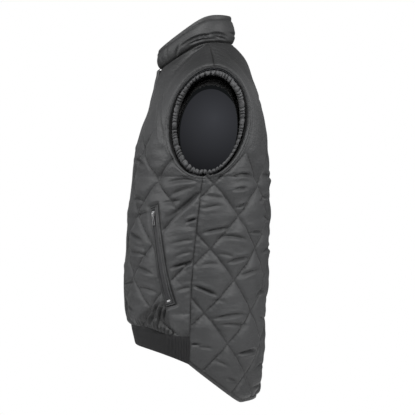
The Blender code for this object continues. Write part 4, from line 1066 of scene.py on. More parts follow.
def crease_relief(table, u, z):
    """Soft troughs with raised lips along each crease of a table, and the painted shade that darkens a trough
    where its shadow falls.
    """
    relief = np.zeros(np.broadcast(u, z).shape)
    shade = np.zeros_like(relief)
    for crease in table:
        start = np.array([crease.u1, crease.z1]) * MM
        along = np.array([crease.u2, crease.z2]) * MM - start
        length = np.linalg.norm(along)
        along = along / length
        x = ((u - start[0]) * along[0] + (z - start[1]) * along[1]) / length
        aside = (z - start[1]) * along[0] - (u - start[0]) * along[1]
        upward = 1.0 if along[0] > 0 else -1.0
        bow = CREASE_BOW * crease.bow * MM * 4 * x * (1 - x)
        v = (aside * upward - bow) / (CREASE_WIDTH * crease.half_width * MM)
        window = ramp((x + CREASE_REACH) / CREASE_END) * ramp((1 + CREASE_REACH - x) / CREASE_END)
        trough = bell(v, np.where(v > 0, UPPER_WALL, LOWER_WALL))
        upper_lip = UPPER_LIP * bell(v - UPPER_LIP_PLACE, UPPER_LIP_WIDTH)
        lower_lip = LOWER_LIP * bell(v - LOWER_LIP_PLACE, LOWER_LIP_WIDTH)
        relief += CREASE_SCALE * crease.depth * MM * (upper_lip + lower_lip - trough) * window
        # Painted shade in the trough, standing for the shadow that falls in it
        dark = CREASE_SHADE * min(1.0, crease.depth / FULL_CREASE) * window
        shade = np.maximum(shade, dark * bell(v - CREASE_SHADE_PLACE, 1.0))
    return relief, shade


def from_lattice(panel, across):
    """Cloth length from the centre line for a place on the quilting, whose middle squares are narrower."""
    return across - panel.quilt_pull * ramp(across / QUILT_PULL_REACH)


def quilt_place(panel, u, z):
    """Places on the quilting's lattice, in half diagonals."""
    across = np.linspace(0, LATTICE_SPAN, LATTICE_SAMPLES)
    across = np.interp(np.abs(u), from_lattice(panel, across), across)
    return (across - panel.quilt_u) / QUILT_HALF_WIDTH, (z - panel.quilt_z) / QUILT_HALF_HEIGHT


def quilt_lines(panel, u, z):
    """Distances to the nearest sewn line of each direction, and places along them."""
    across, up = quilt_place(panel, u, z)
    p, q = (across + up) / 2, (across - up) / 2
    gap_p = np.abs(p - np.round(p)) * QUILT_SPACING
    gap_q = np.abs(q - np.round(q)) * QUILT_SPACING
    return gap_p, gap_q, q * QUILT_SPACING, p * QUILT_SPACING


def pillow(gap):
    """Swell of the padding at a distance from a sewn line: a soft dome and a narrow sewn groove."""
    near = np.sqrt(gap ** 2 + LINE_SOFT ** 2) - LINE_SOFT
    return (1 - GROOVE_SHARE) * (1 - np.exp(-near / DOME)) + GROOVE_SHARE * (1 - np.exp(-near / GROOVE))


Cloth = namedtuple("Cloth", "u z seam_gap arm_gap neck_gap hem_gap")


def below_yoke(panel, z):
    """0 on the plain yoke, 1 where the panel is quilted."""
    return ramp((panel.quilt_top - z) / QUILT_FADE)


def quilted_share(panel, cloth):
    """How far the cloth is quilted, from 0 on the plain yoke and the flattened strips to 1."""
    return below_yoke(panel, cloth.z) * loose_share(panel, cloth)


def loose_share(panel, cloth):
    """0 under the storm flap and the pocket, 1 where the cloth is free."""
    if panel.side > 0:
        return np.ones_like(cloth.u)
    flat = np.minimum(np.abs(cloth.u) - FLAP_HALF_WIDTH, pocket_distance(cloth.u, cloth.z)) - FLAT_MARGIN
    return ramp(flat / FLAT_FADE)


def cross_share(panel, u, z):
    """How far the lines that fall away from the front show: faintly behind the pocket, over its bag."""
    if panel.side > 0:
        return np.ones(np.broadcast(u, z).shape)
    aside = pocket_place(u, z)[1]
    return 1 - CROSS_FADE * ramp(aside / POCKET_WIDTH) * ramp((CROSS_FADE_TOP - z) / CROSS_FADE_REACH)


def padding(panel, cloth):
    """Swell of the padding between its sewn lines and its edges."""
    gap_p, gap_q = quilt_lines(panel, cloth.u, cloth.z)[:2]
    shown = cross_share(panel, cloth.u, cloth.z)
    quilted = (1 - shown * (1 - pillow(gap_p))) * pillow(gap_q) * (FULLNESS + LINE_SINK) - LINE_SINK
    swell = PLAIN_SHARE + (quilted - PLAIN_SHARE) * below_yoke(panel, cloth.z)
    seam_share = np.minimum(cloth.seam_gap, cloth.neck_gap) / SEAM_FADE
    hem_share = (cloth.hem_gap - (BINDING_LAP if panel.side > 0 else 0.0)) / HEM_FADE
    near_edge = np.minimum.reduce([seam_share, hem_share, cloth.arm_gap / ARM_FADE])
    return swell * (FLAT_SHARE + (1 - FLAT_SHARE) * np.sqrt(np.clip(near_edge, 0, 1)))


def free_relief(panel, cloth):
    """Puckers, creases and slow unevenness of the cloth, away from its edges."""
    u, z, seed = cloth.u, cloth.z, panel.seed
    share = below_yoke(panel, z)
    gap_p, gap_q, along_p, along_q = quilt_lines(panel, u, z)
    shifts = [PUCKER_SHIFT * drift(u, z, field, seed) for field in PUCKER_FIELDS]
    drawn = cross_share(panel, u, z) * puckers(gap_p, along_p, shifts[0]) + puckers(gap_q, along_q, shifts[1])
    relief = PUCKER_DEPTH * share * drawn * ramp((gap_p + gap_q) / LINE_CROSS_REACH)
    relief += crease_relief(panel.creases, u, z)[0]
    relief += FOLD_HEIGHT * share * drift(u, z, FOLD_FIELD, seed)
    relief += DRIFT_HEIGHT * drift(u, z, DRIFT_FIELD, seed)
    relief += YOKE_STREAK * (1 - share) * drift(u, cloth.arm_gap, STREAK_FIELD, seed)
    edge_gap = np.minimum.reduce([cloth.seam_gap, cloth.neck_gap, cloth.hem_gap, cloth.arm_gap - RIM_WIDTH])
    return relief * ramp(edge_gap / FREE_FADE)


def seam_waves(panel, cloth):
    """Small waves where the side seam draws the cloth in."""
    shift = SEAM_WAVE_SHIFT * drift(cloth.z, cloth.u * 0, SEAM_FIELD, panel.seed)
    waves = np.sin(2 * np.pi * cloth.z / SEAM_WAVE_PITCH + shift)
    return SEAM_WAVE * waves * bell(cloth.seam_gap - SEAM_WAVE_PLACE, SEAM_WAVE_PLACE)


def panel_lift(panel, cloth):
    """Height of a panel's outer face above its reference face."""
    loose = loose_share(panel, cloth)
    swell = FLAT_SHARE + (padding(panel, cloth) - FLAT_SHARE) * loose
    relief = (free_relief(panel, cloth) + seam_waves(panel, cloth)) * loose
    relief += RIM_HEIGHT * hump(cloth.arm_gap / RIM_WIDTH)
    relief += SECOND_RIM_HEIGHT * hump((cloth.arm_gap - RIM_WIDTH) / SECOND_RIM_WIDTH)
    relief += NECK_BEAD * hump(cloth.neck_gap / NECK_BEAD_WIDTH)
    if panel.side < 0:
        relief += gathers(cloth.u, cloth.hem_gap)[0]
    return np.maximum(-WALL + SEAM_WALL + PUFF * swell + relief, -WALL - SEAM_GAP)


def puckers(gap, along, shift):
    """Small puckers that the thread draws beside a sewn line."""
    return np.exp(-gap / PUCKER_REACH) * np.sin(2 * np.pi * along / PUCKER_PITCH + shift)


def gathers(u, hem_gap):
    """Folds of a front where the rib draws it in, with the pocket bag beside them, and the painted shade that
    lies in and over them.
    """
    place = np.abs(u)
    drawn = ramp((place - GATHER_START) / GATHER_FADE_IN) * ramp((GATHER_END - place) / GATHER_FADE_OUT)
    shift = GATHER_SHIFT * drift(u, u * 0, GATHER_FIELD, FRONT.seed)
    phase = 2 * np.pi * (place - GATHER_LEAN * hem_gap) / GATHER_PITCH + shift
    reach = GATHER_REACH * (1 + GATHER_UNEVEN * drift(u, u * 0, GATHER_REACH_FIELD, FRONT.seed))
    fall = drawn * ramp((reach - hem_gap) / GATHER_REACH) * ramp(hem_gap / GATHER_TUCK)
    # Painted shade over the triangle of gathers below the slanted sewn line
    shaded = drawn * ramp((GATHER_SLOPE * (place - GATHER_START) - hem_gap) / GATHER_SHADE_FADE)
    bag = ramp((place - GATHER_END) / BAG_FADE) * hump(hem_gap / BAG_REACH)
    wave = np.abs(np.sin(phase / 2))
    # Painted shade: darker in the folds' valleys, lighter on their ridges
    dark = np.maximum((GATHER_DARK - GATHER_LIGHT * wave) * shaded, fall * bell(wave, GATHER_FOLD_WIDTH))
    return GATHER_HEIGHT * fall * (wave ** GATHER_POWER - GATHER_SINK) + BAG_HEIGHT * bag, dark


# Panels and their lining

def nearest(points, line):
    """Distance from each point to the nearest of a line's points."""
    flat = points.reshape(-1, 3)
    best = np.full(len(flat), np.inf)
    for place in line:
        best = np.minimum(best, np.sum((flat - place) ** 2, axis=1))
    return np.sqrt(best).reshape(points.shape[:-1])


def armhole_edge(panel, count, read_off=surface):
    """Points, or what else is read off, along a panel's armhole edge, from underarm to shoulder tip."""
    return read_off(panel, np.linspace(UNDERARM_Z, panel.top_z, count), np.array(1.0))


def cloth_on(panel, hem, level, t, u, sign):
    """Points and directions of the reference face, with cloth coordinates and gaps to the edges."""
    points, out = surface(panel, level, t), face_out(panel, level, t)
    arm_gap = nearest(points, armhole_edge(panel, ARM_SAMPLES))
    neck_gap = nearest(points, top_edge(panel, np.linspace(0, 1, NECK_SAMPLES)))
    width = width_at(panel, level)
    share = np.clip((u - panel.start_u) / (width - panel.start_u), 0, 1)
    low = level < UNDERARM_Z + TINY
    seam_gap, hem_gap = np.where(low, width - u, 1.0), np.where(low, level - hem(share), 1.0)
    cloth = Cloth(u * sign, points[..., 2], seam_gap, arm_gap, neck_gap, hem_gap)
    turn = np.stack([sign, np.ones_like(sign), np.ones_like(sign)], -1)
    return points * turn, out * turn, cloth


def panel_grid(panel, hem, sides, fan_rows, lower_rows):
    """Reference points, directions and cloth coordinates of a panel; sides run from 0 at the centre to 1."""
    s = np.abs(sides)
    under_width = width_at(panel, UNDERARM_Z)
    under_t = parameter_at(panel, UNDERARM_Z, panel.start_u + s * (under_width - panel.start_u))
    start_t = parameter_at(panel, UNDERARM_Z, panel.start_u)
    top_t = np.interp(s, [0, CORNER_COLUMN_SHARE, 1], [start_t, CORNER_PARAMETER, 1])
    share = np.linspace(1, 0, fan_rows + 1)[:, None]
    fan_level = np.broadcast_to(UNDERARM_Z + share * (panel.top_z - UNDERARM_Z), (fan_rows + 1, len(s)))
    fan_t = under_t * (1 - share) + top_t * share
    if panel.start_u > 0:
        fan_t[:, 0] = parameter_at(panel, fan_level[:, 0], panel.start_u)
    k = np.linspace(0, 1, lower_rows + 1)[1:, None]
    low_level = UNDERARM_Z + k * (hem(s) - UNDERARM_Z)
    low_t = parameter_at(panel, low_level, panel.start_u + s * (width_at(panel, low_level) - panel.start_u))
    level, t = np.concatenate([fan_level, low_level]), np.concatenate([fan_t, low_t])
    sign = np.broadcast_to(np.where(np.signbit(sides), -1.0, 1.0), level.shape)
    return cloth_on(panel, hem, level, t, length_at(panel, level, t), sign)


def towards_edge(count):
    """Places from 0 to 1 that lie closer together near 1."""
    return 1 - (1 - np.linspace(0, 1, count)) ** EDGE_CLUSTER


def both_halves(half):
    return np.concatenate([-half[:0:-1], half])


def to_seam(panel, points):
    """Points of a panel moved to meet the other panel in the seams that they share."""
    return points - np.array([0.0, panel.side * SEAM_LAP, 0.0])


def quilted_panel(name, panel, hem, sides, cells):
    """One quilted panel: padded outer cloth over a plain inside."""
    points, out, cloth = panel_grid(panel, hem, sides, *cells)
    lift = panel_lift(panel, cloth)
    inside = np.minimum(-WALL, lift - SEAM_WALL / 2)
    outer, inner = (to_seam(panel, points + out * height[..., None]) for height in (lift, inside))
    piece = shell(name, outer, inner, np.stack(quilt_place(panel, cloth.u, cloth.z), -1), PANEL_STRIDE)
    # Painted shade, written as point attributes that the material darkens its colour by: the sewn lines'
    # share ("quilted"), the cross lines' share ("crossed"), and the shade in seams, creases, gathers,
    # shoulder and tail ("seam")
    sewn = LINE_SHADE * quilted_share(panel, cloth)
    crossed = sewn * cross_share(panel, cloth.u, cloth.z)
    for title, values in (("quilted", sewn), ("crossed", crossed), ("seam", painted_shade(panel, cloth))):
        unshaded = np.zeros_like(values[::PANEL_STRIDE, ::PANEL_STRIDE])
        write_painted_shade(piece, title, np.concatenate([values.ravel(), unshaded.ravel()]))
    return piece


def painted_shade(panel, cloth):
    """Painted shade on the cloth, darkening it toward black where shade falls: in seams, creases and gathers,
    round the pocket, over the shoulder and towards the tail's bottom.
    """
    shades = [
        SEAM_SHADE * bell(cloth.seam_gap, SEAM_SHADE_WIDTH),
        NECK_SHADE * bell(cloth.neck_gap, NECK_SHADE_WIDTH),
        ARM_SHADE * bell(cloth.arm_gap - RIM_WIDTH, SEAM_SHADE_WIDTH),
        HEM_SHADE * bell(cloth.hem_gap, HEM_SHADE_WIDTH),
        YOKE_SHADE * ramp((cloth.z - YOKE_SHADE_LOW) / (YOKE_SHADE_HIGH - YOKE_SHADE_LOW)),
        crease_relief(panel.creases, cloth.u, cloth.z)[1] * loose_share(panel, cloth),
    ]
    if panel.side > 0:
        shades.append(TAIL_SHADE * ramp((TAIL_SHADE_HIGH - cloth.z) / (TAIL_SHADE_HIGH - TAIL_SHADE_LOW)))
    else:
        shades.append(SEAM_SHADE * bell(pocket_distance(cloth.u, cloth.z), SEAM_SHADE_WIDTH))
        shades.append(GATHER_SHADE * gathers(cloth.u, cloth.hem_gap)[1])
    return np.maximum.reduce(shades)


def write_painted_shade(piece, title, values):
    """A value of painted shade for each point of a piece, which its material reads by name to darken its
    colour.
    """
    layer = piece.data.attributes.new(title, "FLOAT", "POINT")
    layer.data.foreach_set("value", values)


def lining(name, panel, hem, sides, cells):
    """Plain lining inside a panel, with slack waves."""
    points, out, cloth = panel_grid(panel, hem, sides, *cells)
    slack = LINING_SLACK * (1 + drift(cloth.u, cloth.z, LINING_FIELD))
    slack = slack * ramp(np.minimum(cloth.seam_gap, cloth.arm_gap) / LINING_FADE)
    slack = np.maximum(slack, 0) * ramp(cloth.hem_gap / LINING_FADE)
    outer = to_seam(panel, points - out * (WALL + LINING_GAP + slack)[..., None])
    inner = outer - out * LINING_WALL
    return shell(name, outer, inner, np.stack([cloth.u, cloth.z], -1), LINING_STRIDE)


# Collar

def collar_section(degrees):
    """Rings of points through the collar: up its outside, over its rounded top and down its inside."""
    base = oval_points(NECK, degrees) + np.array([0, 0, SEAM_GAP * 2])
    rise = oval_points(COLLAR_TOP, degrees) - base
    height = np.linalg.norm(rise, axis=-1)
    up = rise / height[:, None]
    outs = neck_out(degrees)
    place = degrees * COLLAR_ARC
    rings = []
    shares = [np.linspace(0, 1, COLLAR_LEVELS), np.ones(COLLAR_CAP), np.linspace(1, 0, COLLAR_INNER)]
    over = np.linspace(0, np.pi, COLLAR_CAP + 2)[1:-1]
    turns = [np.zeros(COLLAR_LEVELS), over, np.full(COLLAR_INNER, np.pi)]
    for share, turn in zip(np.concatenate(shares), np.concatenate(turns)):
        reach = (height - COLLAR_WALL / 2) * share
        mitre = ramp(1 - share / COLLAR_MITRE_SHARE)
        through = unit(neck_mitre(degrees) * mitre + outs * (1 - mitre))
        uneven = COLLAR_DRIFT * drift(place, reach, COLLAR_FIELD) * ramp(reach / COLLAR_DRIFT_FADE)
        relief = COLLAR_BULGE * np.sin(np.pi * np.minimum(1.0, share / COLLAR_BULGE_SPAN))
        relief = relief + COLLAR_CREASE_SHARE * crease_relief(COLLAR_CREASES, place, reach)[0]
        relief -= COLLAR_TUCK * bell(reach, COLLAR_TUCK_REACH)
        relief -= TOPSTITCH_DEPTH * bell(height - reach - TOPSTITCH_DROP, TOPSTITCH_WIDTH)
        relief += uneven * ramp((1 - share) / COLLAR_TOP_FADE)
        middle = base + up * reach[:, None] + outs * relief[:, None] - through * COLLAR_WALL / 2
        side = through * np.cos(turn) + up * np.sin(turn)
        rings.append(middle + side * COLLAR_WALL / 2)
    return np.stack(rings, axis=1)


def collar_heights(degrees):
    return np.linalg.norm(oval_points(COLLAR_TOP, degrees) - oval_points(NECK, degrees), axis=-1)


def collar_painted_shade(degrees):
    """Painted shade on the collar's outside: in its folds, at its seam, and an even darkening all over; none
    over its top and inside.
    """
    reach = collar_heights(degrees)[:, None] * np.linspace(0, 1, COLLAR_LEVELS)
    place = np.broadcast_to((degrees * COLLAR_ARC)[:, None], reach.shape)
    shade = np.maximum(crease_relief(COLLAR_CREASES, place, reach)[1], COLLAR_SHADE)
    shade = np.maximum(shade, NECK_SHADE * bell(reach, NECK_SHADE_WIDTH))
    return np.concatenate([shade, np.zeros((len(degrees), COLLAR_CAP + COLLAR_INNER))], axis=1)


def make_collar():
    gap = math.degrees((ZIP_WIDTH / 2 + SEAM_GAP) / NECK.half_width)
    degrees = np.linspace(gap, 360 - gap, COLLAR_STATIONS)
    piece = loft("collar_cloth", collar_section(degrees))
    # The collar's painted shade, which its material reads from the "seam" attribute
    write_painted_shade(piece, "seam", collar_painted_shade(degrees).ravel())
    return piece


# Front closure

def make_storm_flap():
    """Padded strip over the front zip, topstitched along both edges, its upper end standing off a little."""
    z = np.linspace(FLAP_TOP_Z, FLAP_BOTTOM_Z, FLAP_STATIONS)[:, None]
    u = np.linspace(-FLAP_HALF_WIDTH, FLAP_HALF_WIDTH, FLAP_COLUMNS)[None, :]
    stand = FLAP_TOP_LIFT * ramp((z - FLAP_TOP_Z + FLAP_LIFT_REACH) / FLAP_LIFT_REACH) ** 2
    edge = FLAP_HALF_WIDTH - np.abs(u)
    crown = np.sqrt(np.clip(edge / FLAP_EDGE_ROUND, 0, 1))
    crown = crown * ramp((FLAP_TOP_Z - z + FLAP_END_START) / FLAP_END_ROUND)
    groove = TOPSTITCH_DEPTH * bell(edge - FLAP_STITCH_INSET, FLAP_GROOVE_WIDTH)
    waves = FLAP_DRIFT * drift(u, z, FLAP_FIELD) * ramp((edge - FLAP_DRIFT_START) / FLAP_DRIFT_FADE)
    wall = FLAP_EDGE_WALL + (FLAP_WALL - FLAP_EDGE_WALL) * crown
    outer = on_panel(FRONT, u, z, LAID_LIFT + wall - groove + waves + stand)
    inner = on_panel(FRONT, u[:, ::-1], z, LAID_LIFT + stand)
    return loft("storm_flap_cloth", np.concatenate([outer, inner[:, ::2]], axis=1))


def collar_zip_head():
    """Upper end of the front zip, inside the collar's wall."""
    return oval_points(COLLAR_TOP, np.array([0.0]))[0] + np.array([0.0, COLLAR_ZIP_DEPTH, -COLLAR_ZIP_DROP])


def zip_line():
    """Middle of the front zip from the rib's hem to the collar's top, evenly spaced."""
    levels = np.linspace(RIB_FRONT_Z + ZIP_HEM_RISE, FRONT.top_z, ZIP_SAMPLES)
    line = np.concatenate([on_panel(FRONT, 0.0, levels, -ZIP_DEPTH), [collar_zip_head()]])
    return along_path(line, TOOTH_PITCH)


def along_path(path, pitch):
    """Points at an even pitch along a line of points."""
    lengths = lengths_along(path)
    return points_at(path, lengths, np.linspace(0, lengths[-1], max(2, int(lengths[-1] / pitch))))


def tape_rings(line, across, out, half_width, half_wall):
    """Rings of a flat tape along a line."""
    corners = ((-1, 1), (1, 1), (1, -1), (-1, -1))
    rings = [line + across * half_width * a + out * half_wall * b for a, b in corners]
    return np.stack(rings, axis=1)


CORNERS = ((-0.5, -0.5), (0.5, -0.5), (0.5, 0.5), (-0.5, 0.5))
TOOTH_FOOT = np.array([(x, y, -0.5) for x, y in CORNERS])
TOOTH_TOP = np.array([(x, y, 0.5) for x, y in CORNERS]) * TOOTH_TAPER
TOOTH = np.concatenate([TOOTH_FOOT, TOOTH_TOP])
TOOTH_FACES = np.array([(3, 2, 1, 0), (4, 5, 6, 7), (0, 1, 5, 4), (1, 2, 6, 5), (2, 3, 7, 6), (3, 0, 4, 7)])


def teeth(name, line, across, along, out):
    """Closed zip teeth, in turn from the two sides of a line."""
    side = np.where(np.arange(len(line)) % 2, 1.0, -1.0)[:, None]
    centres = line + across * side * TOOTH_WIDTH * TOOTH_OFFSET + out * TOOTH_HEIGHT / 2
    axes = np.stack([across * TOOTH_WIDTH, along * TOOTH_PITCH * TOOTH_SHARE, out * TOOTH_HEIGHT], axis=1)
    return many(name, TOOTH, TOOTH_FACES, centres, axes)


def make_front_zip():
    line = zip_line()
    along = unit(np.gradient(line, axis=0))
    across = np.broadcast_to([1.0, 0.0, 0.0], line.shape)
    out = unit(np.cross(across, along)) * np.where(np.cross(across, along)[:, 1:2] > 0, -1.0, 1.0)
    tape = loft("front_zip_tape", tape_rings(line, across, out, ZIP_WIDTH / 2, TAPE_WALL / 2))
    return tape, teeth("front_zip_teeth", line, across, along, out)


# Side pockets

def pocket_points(along, across, lift):
    """Points of the left pocket, along the zip from its upper end and across it."""
    start, along_axis, across_axis = pocket_axes()
    u = start[0] + along_axis[0] * along + across_axis[0] * across
    z = start[1] + along_axis[1] * along + across_axis[1] * across
    return on_panel(FRONT, u, z, lift)


def rectangle(low, high, count):
    """Places round a rectangle, count on each side, as along and across."""
    share = np.linspace(0, 1, count, endpoint=False)
    corners = np.array([(low[0], low[1]), (high[0], low[1]), (high[0], high[1]), (low[0], high[1])])
    sides = [corners[k] + (corners[(k + 1) % 4] - corners[k]) * share[:, None] for k in range(4)]
    return np.concatenate(sides)


def make_welt(suffix, turn):
    """Welt frame round a pocket's zip: lips rolled to the slot, a stitched groove and a turned outer edge."""
    low, high = POCKET_SLOT_SHIFT - POCKET_SLOT / 2, POCKET_SLOT_SHIFT + POCKET_SLOT / 2
    aside = POCKET_WIDTH / 2
    inner = rectangle((0.0, low), (POCKET_LENGTH, high), WELT_STATIONS)
    outer = rectangle((-POCKET_END, -aside), (POCKET_LENGTH + POCKET_END, aside), WELT_STATIONS)
    rings = []
    for share, lift, _ in WELT_SECTION:
        along, across = (inner + (outer - inner) * share).T
        uneven = 1 + WELT_UNEVEN * drift(along, across, WELT_FIELD)
        rings.append(pocket_points(along, across, LAID_LIFT + lift * MM * uneven) * turn)
    piece = loft(f"pocket_welt_{suffix}_cloth", np.stack(rings, axis=1), closed=True)
    # Painted shade along the welt's grooves and edges
    write_painted_shade(piece, "seam", np.tile([shade for _, _, shade in WELT_SECTION], len(inner)))
    return piece


def make_pocket_zip(suffix, turn):
    """Tape and teeth in a pocket's slot."""
    places = np.arange(SEAM_GAP, POCKET_LENGTH - STOP_LENGTH - 2 * SEAM_GAP, TOOTH_PITCH)
    line = pocket_points(places, POCKET_SLOT_SHIFT, LAID_LIFT + TAPE_WALL / 2) * turn
    along = unit(np.gradient(line, axis=0))
    out = unit(pocket_points(places, POCKET_SLOT_SHIFT, LAID_LIFT + PROBE) * turn - line)
    across = unit(np.cross(along, out))
    rings = tape_rings(line, across, out, POCKET_SLOT / 2 - SEAM_GAP, TAPE_WALL / 2)
    tape = loft(f"pocket_zip_{suffix}_tape", rings)
    return tape, teeth(f"pocket_zip_{suffix}_teeth", line, across, along, out)


def frame_matrix(origin, along, outward):
    """A frame at a point: across, along and outward."""
    outward = Vector(outward).normalized()
    along = Vector(along)
    along = (along - outward * along.dot(outward)).normalized()
    across = along.cross(outward)
    turn = Matrix((across, along, outward)).transposed().to_4x4()
    return Matrix.Translation(Vector(origin)) @ turn


def pocket_frame(along, lift, turn):
    """A frame on a pocket's zip: across it, down it and outward."""
    place = pocket_points(along, POCKET_SLOT_SHIFT, lift)
    down = pocket_points(along + PROBE, POCKET_SLOT_SHIFT, lift) - place
    outward = pocket_points(along, POCKET_SLOT_SHIFT, lift + PROBE) - place
    return frame_matrix(place * turn, down * turn, outward * turn)


def front_zip_frame():
    head = collar_zip_head()
    down = unit(on_panel(FRONT, 0.0, FRONT.top_z, -ZIP_DEPTH) - head)
    outward = np.array([0.0, down[2], -down[1]])
    return frame_matrix(head + down * SLIDER_REST + outward * (ZIP_WALL / 2 + SEAM_GAP), down, outward)


def hinge_frame(frame_here):
    """The tab's frame on a slider, drooping a little towards the cloth."""
    lift = Matrix.Translation((0, 0, SLIDER_HEIGHT + AXIS_RISE))
    return frame_here @ lift @ Matrix.Rotation(-math.radians(TAB_DROOP), 4, "X")


def make_slider(name, frame_here):
    """Slider: two wings on a core, and the staple that carries the tab."""
    half, reach = SLIDER_WIDTH / 2, SLIDER_LENGTH / 2
    narrow = half * WING_TAPER
    wing = [(-half, -reach), (half, -reach), (half, 0.0), (narrow, reach), (-narrow, reach), (-half, 0.0)]
    core = [(x * CORE_WIDTH, y * CORE_LENGTH) for x, y in wing]
    third = SLIDER_HEIGHT / 3
    turn = np.linspace(0, np.pi, STAPLE_POINTS)
    arch = [turn * 0, -squared(np.cos(turn), STAPLE_POWER), squared(np.sin(turn), STAPLE_POWER)]
    rise = AXIS_RISE + BRIDGE_CLEARANCE + STAPLE_WALL
    arch = np.stack(arch, -1) * (1, STAPLE_HALF_LENGTH + STAPLE_WALL / 2, rise)
    arch = arch + (0, 0, SLIDER_HEIGHT - STAPLE_WALL / 2)
    pieces = [
        plate("low_wing", wing, 0, third, third * LOW_WING_BEVEL),
        plate("core", core, third * (1 - CORE_LAP), third * (2 + CORE_LAP), third * CORE_LAP),
        plate("top_wing", wing, third * 2, third * 3, third * TOP_WING_BEVEL),
        tube("staple", arch, STAPLE_WALL / 2, (1.0, 0.0, 0.0)),
    ]
    return placed(joined(name, pieces), frame_here)


def make_tab(name, frame_here):
    """Pull tab: a plated rim with the eye at its head, and a dark moulded grip in it."""
    half, wire = (TAB_WIDTH - TAB_WALL) / 2, TAB_WALL / 2
    end, eye_end = TAB_LENGTH - TAB_HEAD - wire, TAB_HEAD + TAB_EYE_LENGTH + wire
    turn = np.linspace(0, 2 * np.pi, TAB_POINTS, endpoint=False) + np.pi / TAB_POINTS
    along = end / 2 + end / 2 * squared(np.sin(turn), TAB_POWER)
    path = np.stack([half * squared(np.cos(turn), TAB_POWER), along, turn * 0], -1)
    bar = [(x, eye_end, 0.0) for x in (-half, 0.0, half)]
    facing = (0.0, 0.0, 1.0)
    wires = [tube("rim", path, wire, facing, closed=True), tube("bar", bar, wire, facing)]
    rim = joined(name + "_rim", wires)
    inside, far = half - wire * GRIP_LAP, end - wire * GRIP_END_LAP
    grip = [(-inside, eye_end), (inside, eye_end), (inside, far), (-inside, far)]
    insert = plate(name + "_grip", grip, -wire * GRIP_WALL, wire * GRIP_WALL, wire * GRIP_BEVEL)
    return placed(rim, frame_here), placed(insert, frame_here)


def make_stop(suffix, turn):
    """Plated end stop across the lower end of a pocket's teeth."""
    half, reach = POCKET_SLOT / 2 - SEAM_GAP, STOP_LENGTH / 2
    outline = [(-half, -reach), (half, -reach), (half, reach), (-half, reach)]
    clip = plate(f"pocket_stop_{suffix}_clip", outline, 0, STOP_HEIGHT, STOP_BEVEL, 3)
    return placed(clip, pocket_frame(POCKET_LENGTH - SEAM_GAP - reach, LAID_LIFT, turn))


# Armhole rings, ribs and binding

def around_armhole(read_off):
    """What is read off along the left armhole's edge, up the front, down the back and closed."""
    front, rear = (armhole_edge(panel, RING_SAMPLES, read_off) for panel in (FRONT, BACK))
    return np.concatenate([front[:-1], rear[:0:-1], front[:1]])


def ring_edge(loop, places, stations):
    """The ring's edge, with its directions outward and inward; where the cloth faces up, it lies lower."""
    edge = points_at(loop, places, stations)
    out = unit(points_at(around_armhole(face_out), places, stations))
    upward = ramp((out[:, 2:] - RING_UP_START) / RING_UP_SPAN)
    out = unit(out * (1 - upward) + np.array([1.0, 0.0, 0.0]) * upward)
    edge = edge - np.array([0.0, 0.0, RING_DROP]) * upward
    inward = edge.mean(axis=0) - edge
    return edge, out, unit(inward - out * np.sum(inward * out, axis=1, keepdims=True))


def make_ring(suffix, turn):
    """Gathered elastic ring, set back behind the armhole's edge by a channel, with painted shade in the
    channel, on its inner side and between its gathers.
    """
    loop = around_armhole(surface)
    places = lengths_along(loop)
    stations = np.linspace(0, places[-1], RING_STATIONS, endpoint=False)
    edge, out, inward = ring_edge(loop, places, stations)
    around = 2 * np.pi * stations / places[-1]
    circle = (np.cos(around) * RING_AROUND, np.sin(around) * RING_AROUND)
    seed = 0 if suffix == "left" else 1
    phase = GATHERS * around + RING_SHIFT * drift(*circle, RING_FIELD, seed)
    strength = 1 + RING_UNEVEN * drift(*circle, RING_STRENGTH_FIELD, seed)
    wave = (np.abs(np.sin(phase / 2)) ** RING_POWER - RING_SINK) * strength
    wide = RING_FULL + RING_SWELL * np.cos(2 * (around - RING_SWELL_PLACE))
    rings = []
    for point in RING_SECTION:
        twist = wave + RING_TWIST * np.sin(phase * RING_TWIST_RATE + point.inward * RING_TWIST_SHIFT)
        beyond = max(0.0, point.inward - RING_START)
        depth = point.inward - beyond + beyond * wide + RING_WAVE * RING_INWARD * point.gather * wave
        lift = point.outward + RING_WAVE * point.gather * twist
        rings.append(edge + inward * depth[:, None] + out * lift[:, None])
    rings = np.stack(rings, axis=1) * turn
    piece = loft(f"armhole_ring_{suffix}_cloth", rings, closed=True, sharp=FOLD_SHARP)
    # Painted shade between the gathers, and over the channel and the ring's inner side
    gather, channel_painted_shade = np.array([(point.gather, point.shade) for point in RING_SECTION]).T
    folds = RING_FOLD_SHADE * bell(np.sin(phase / 2), RING_FOLD_WIDTH)[:, None] * gather
    write_painted_shade(piece, "seam", np.maximum(folds, channel_painted_shade).ravel())
    return piece


def make_rib(suffix, turn):
    """Rib-knit band under a front: rounded ribs, tucked in at the seam and folded at the hem."""
    ribs = int((width_at(FRONT, FRONT_HEM_Z) - FRONT.start_u) / RIB_PITCH)
    share = np.linspace(0, 1, ribs * RIB_POINTS + 1)
    wale = np.abs(np.sin(np.pi * share * ribs)) ** RIB_ROUND
    top, low = front_hem(share) - SEAM_GAP, rib_hem(share)
    lap = np.array([0.0, RIB_LAP, 0.0]) * share[:, None] ** RIB_LAP_POWER
    rings = []
    for down, depth, relief in RIB_SECTION:
        z = top + (low - top) * down
        u = FRONT.start_u + (width_at(FRONT, z) - FRONT.start_u) * share
        slack = RIB_DRIFT * drift(u, z, RIB_FIELD) * relief
        lift = -RIB_INSET - depth * MM + (RIB_RELIEF * wale + slack) * relief
        rings.append((on_panel(FRONT, u, z, lift) + lap) * turn)
    piece = loft(f"rib_{suffix}_knit", np.stack(rings, axis=1), sharp=FOLD_SHARP)
    # Painted shade in the valleys between the ribs
    between = RIB_SHADE * (1 - wale)[:, None] * np.array([relief for _, _, relief in RIB_SECTION])
    write_painted_shade(piece, "seam", between.ravel())
    return piece


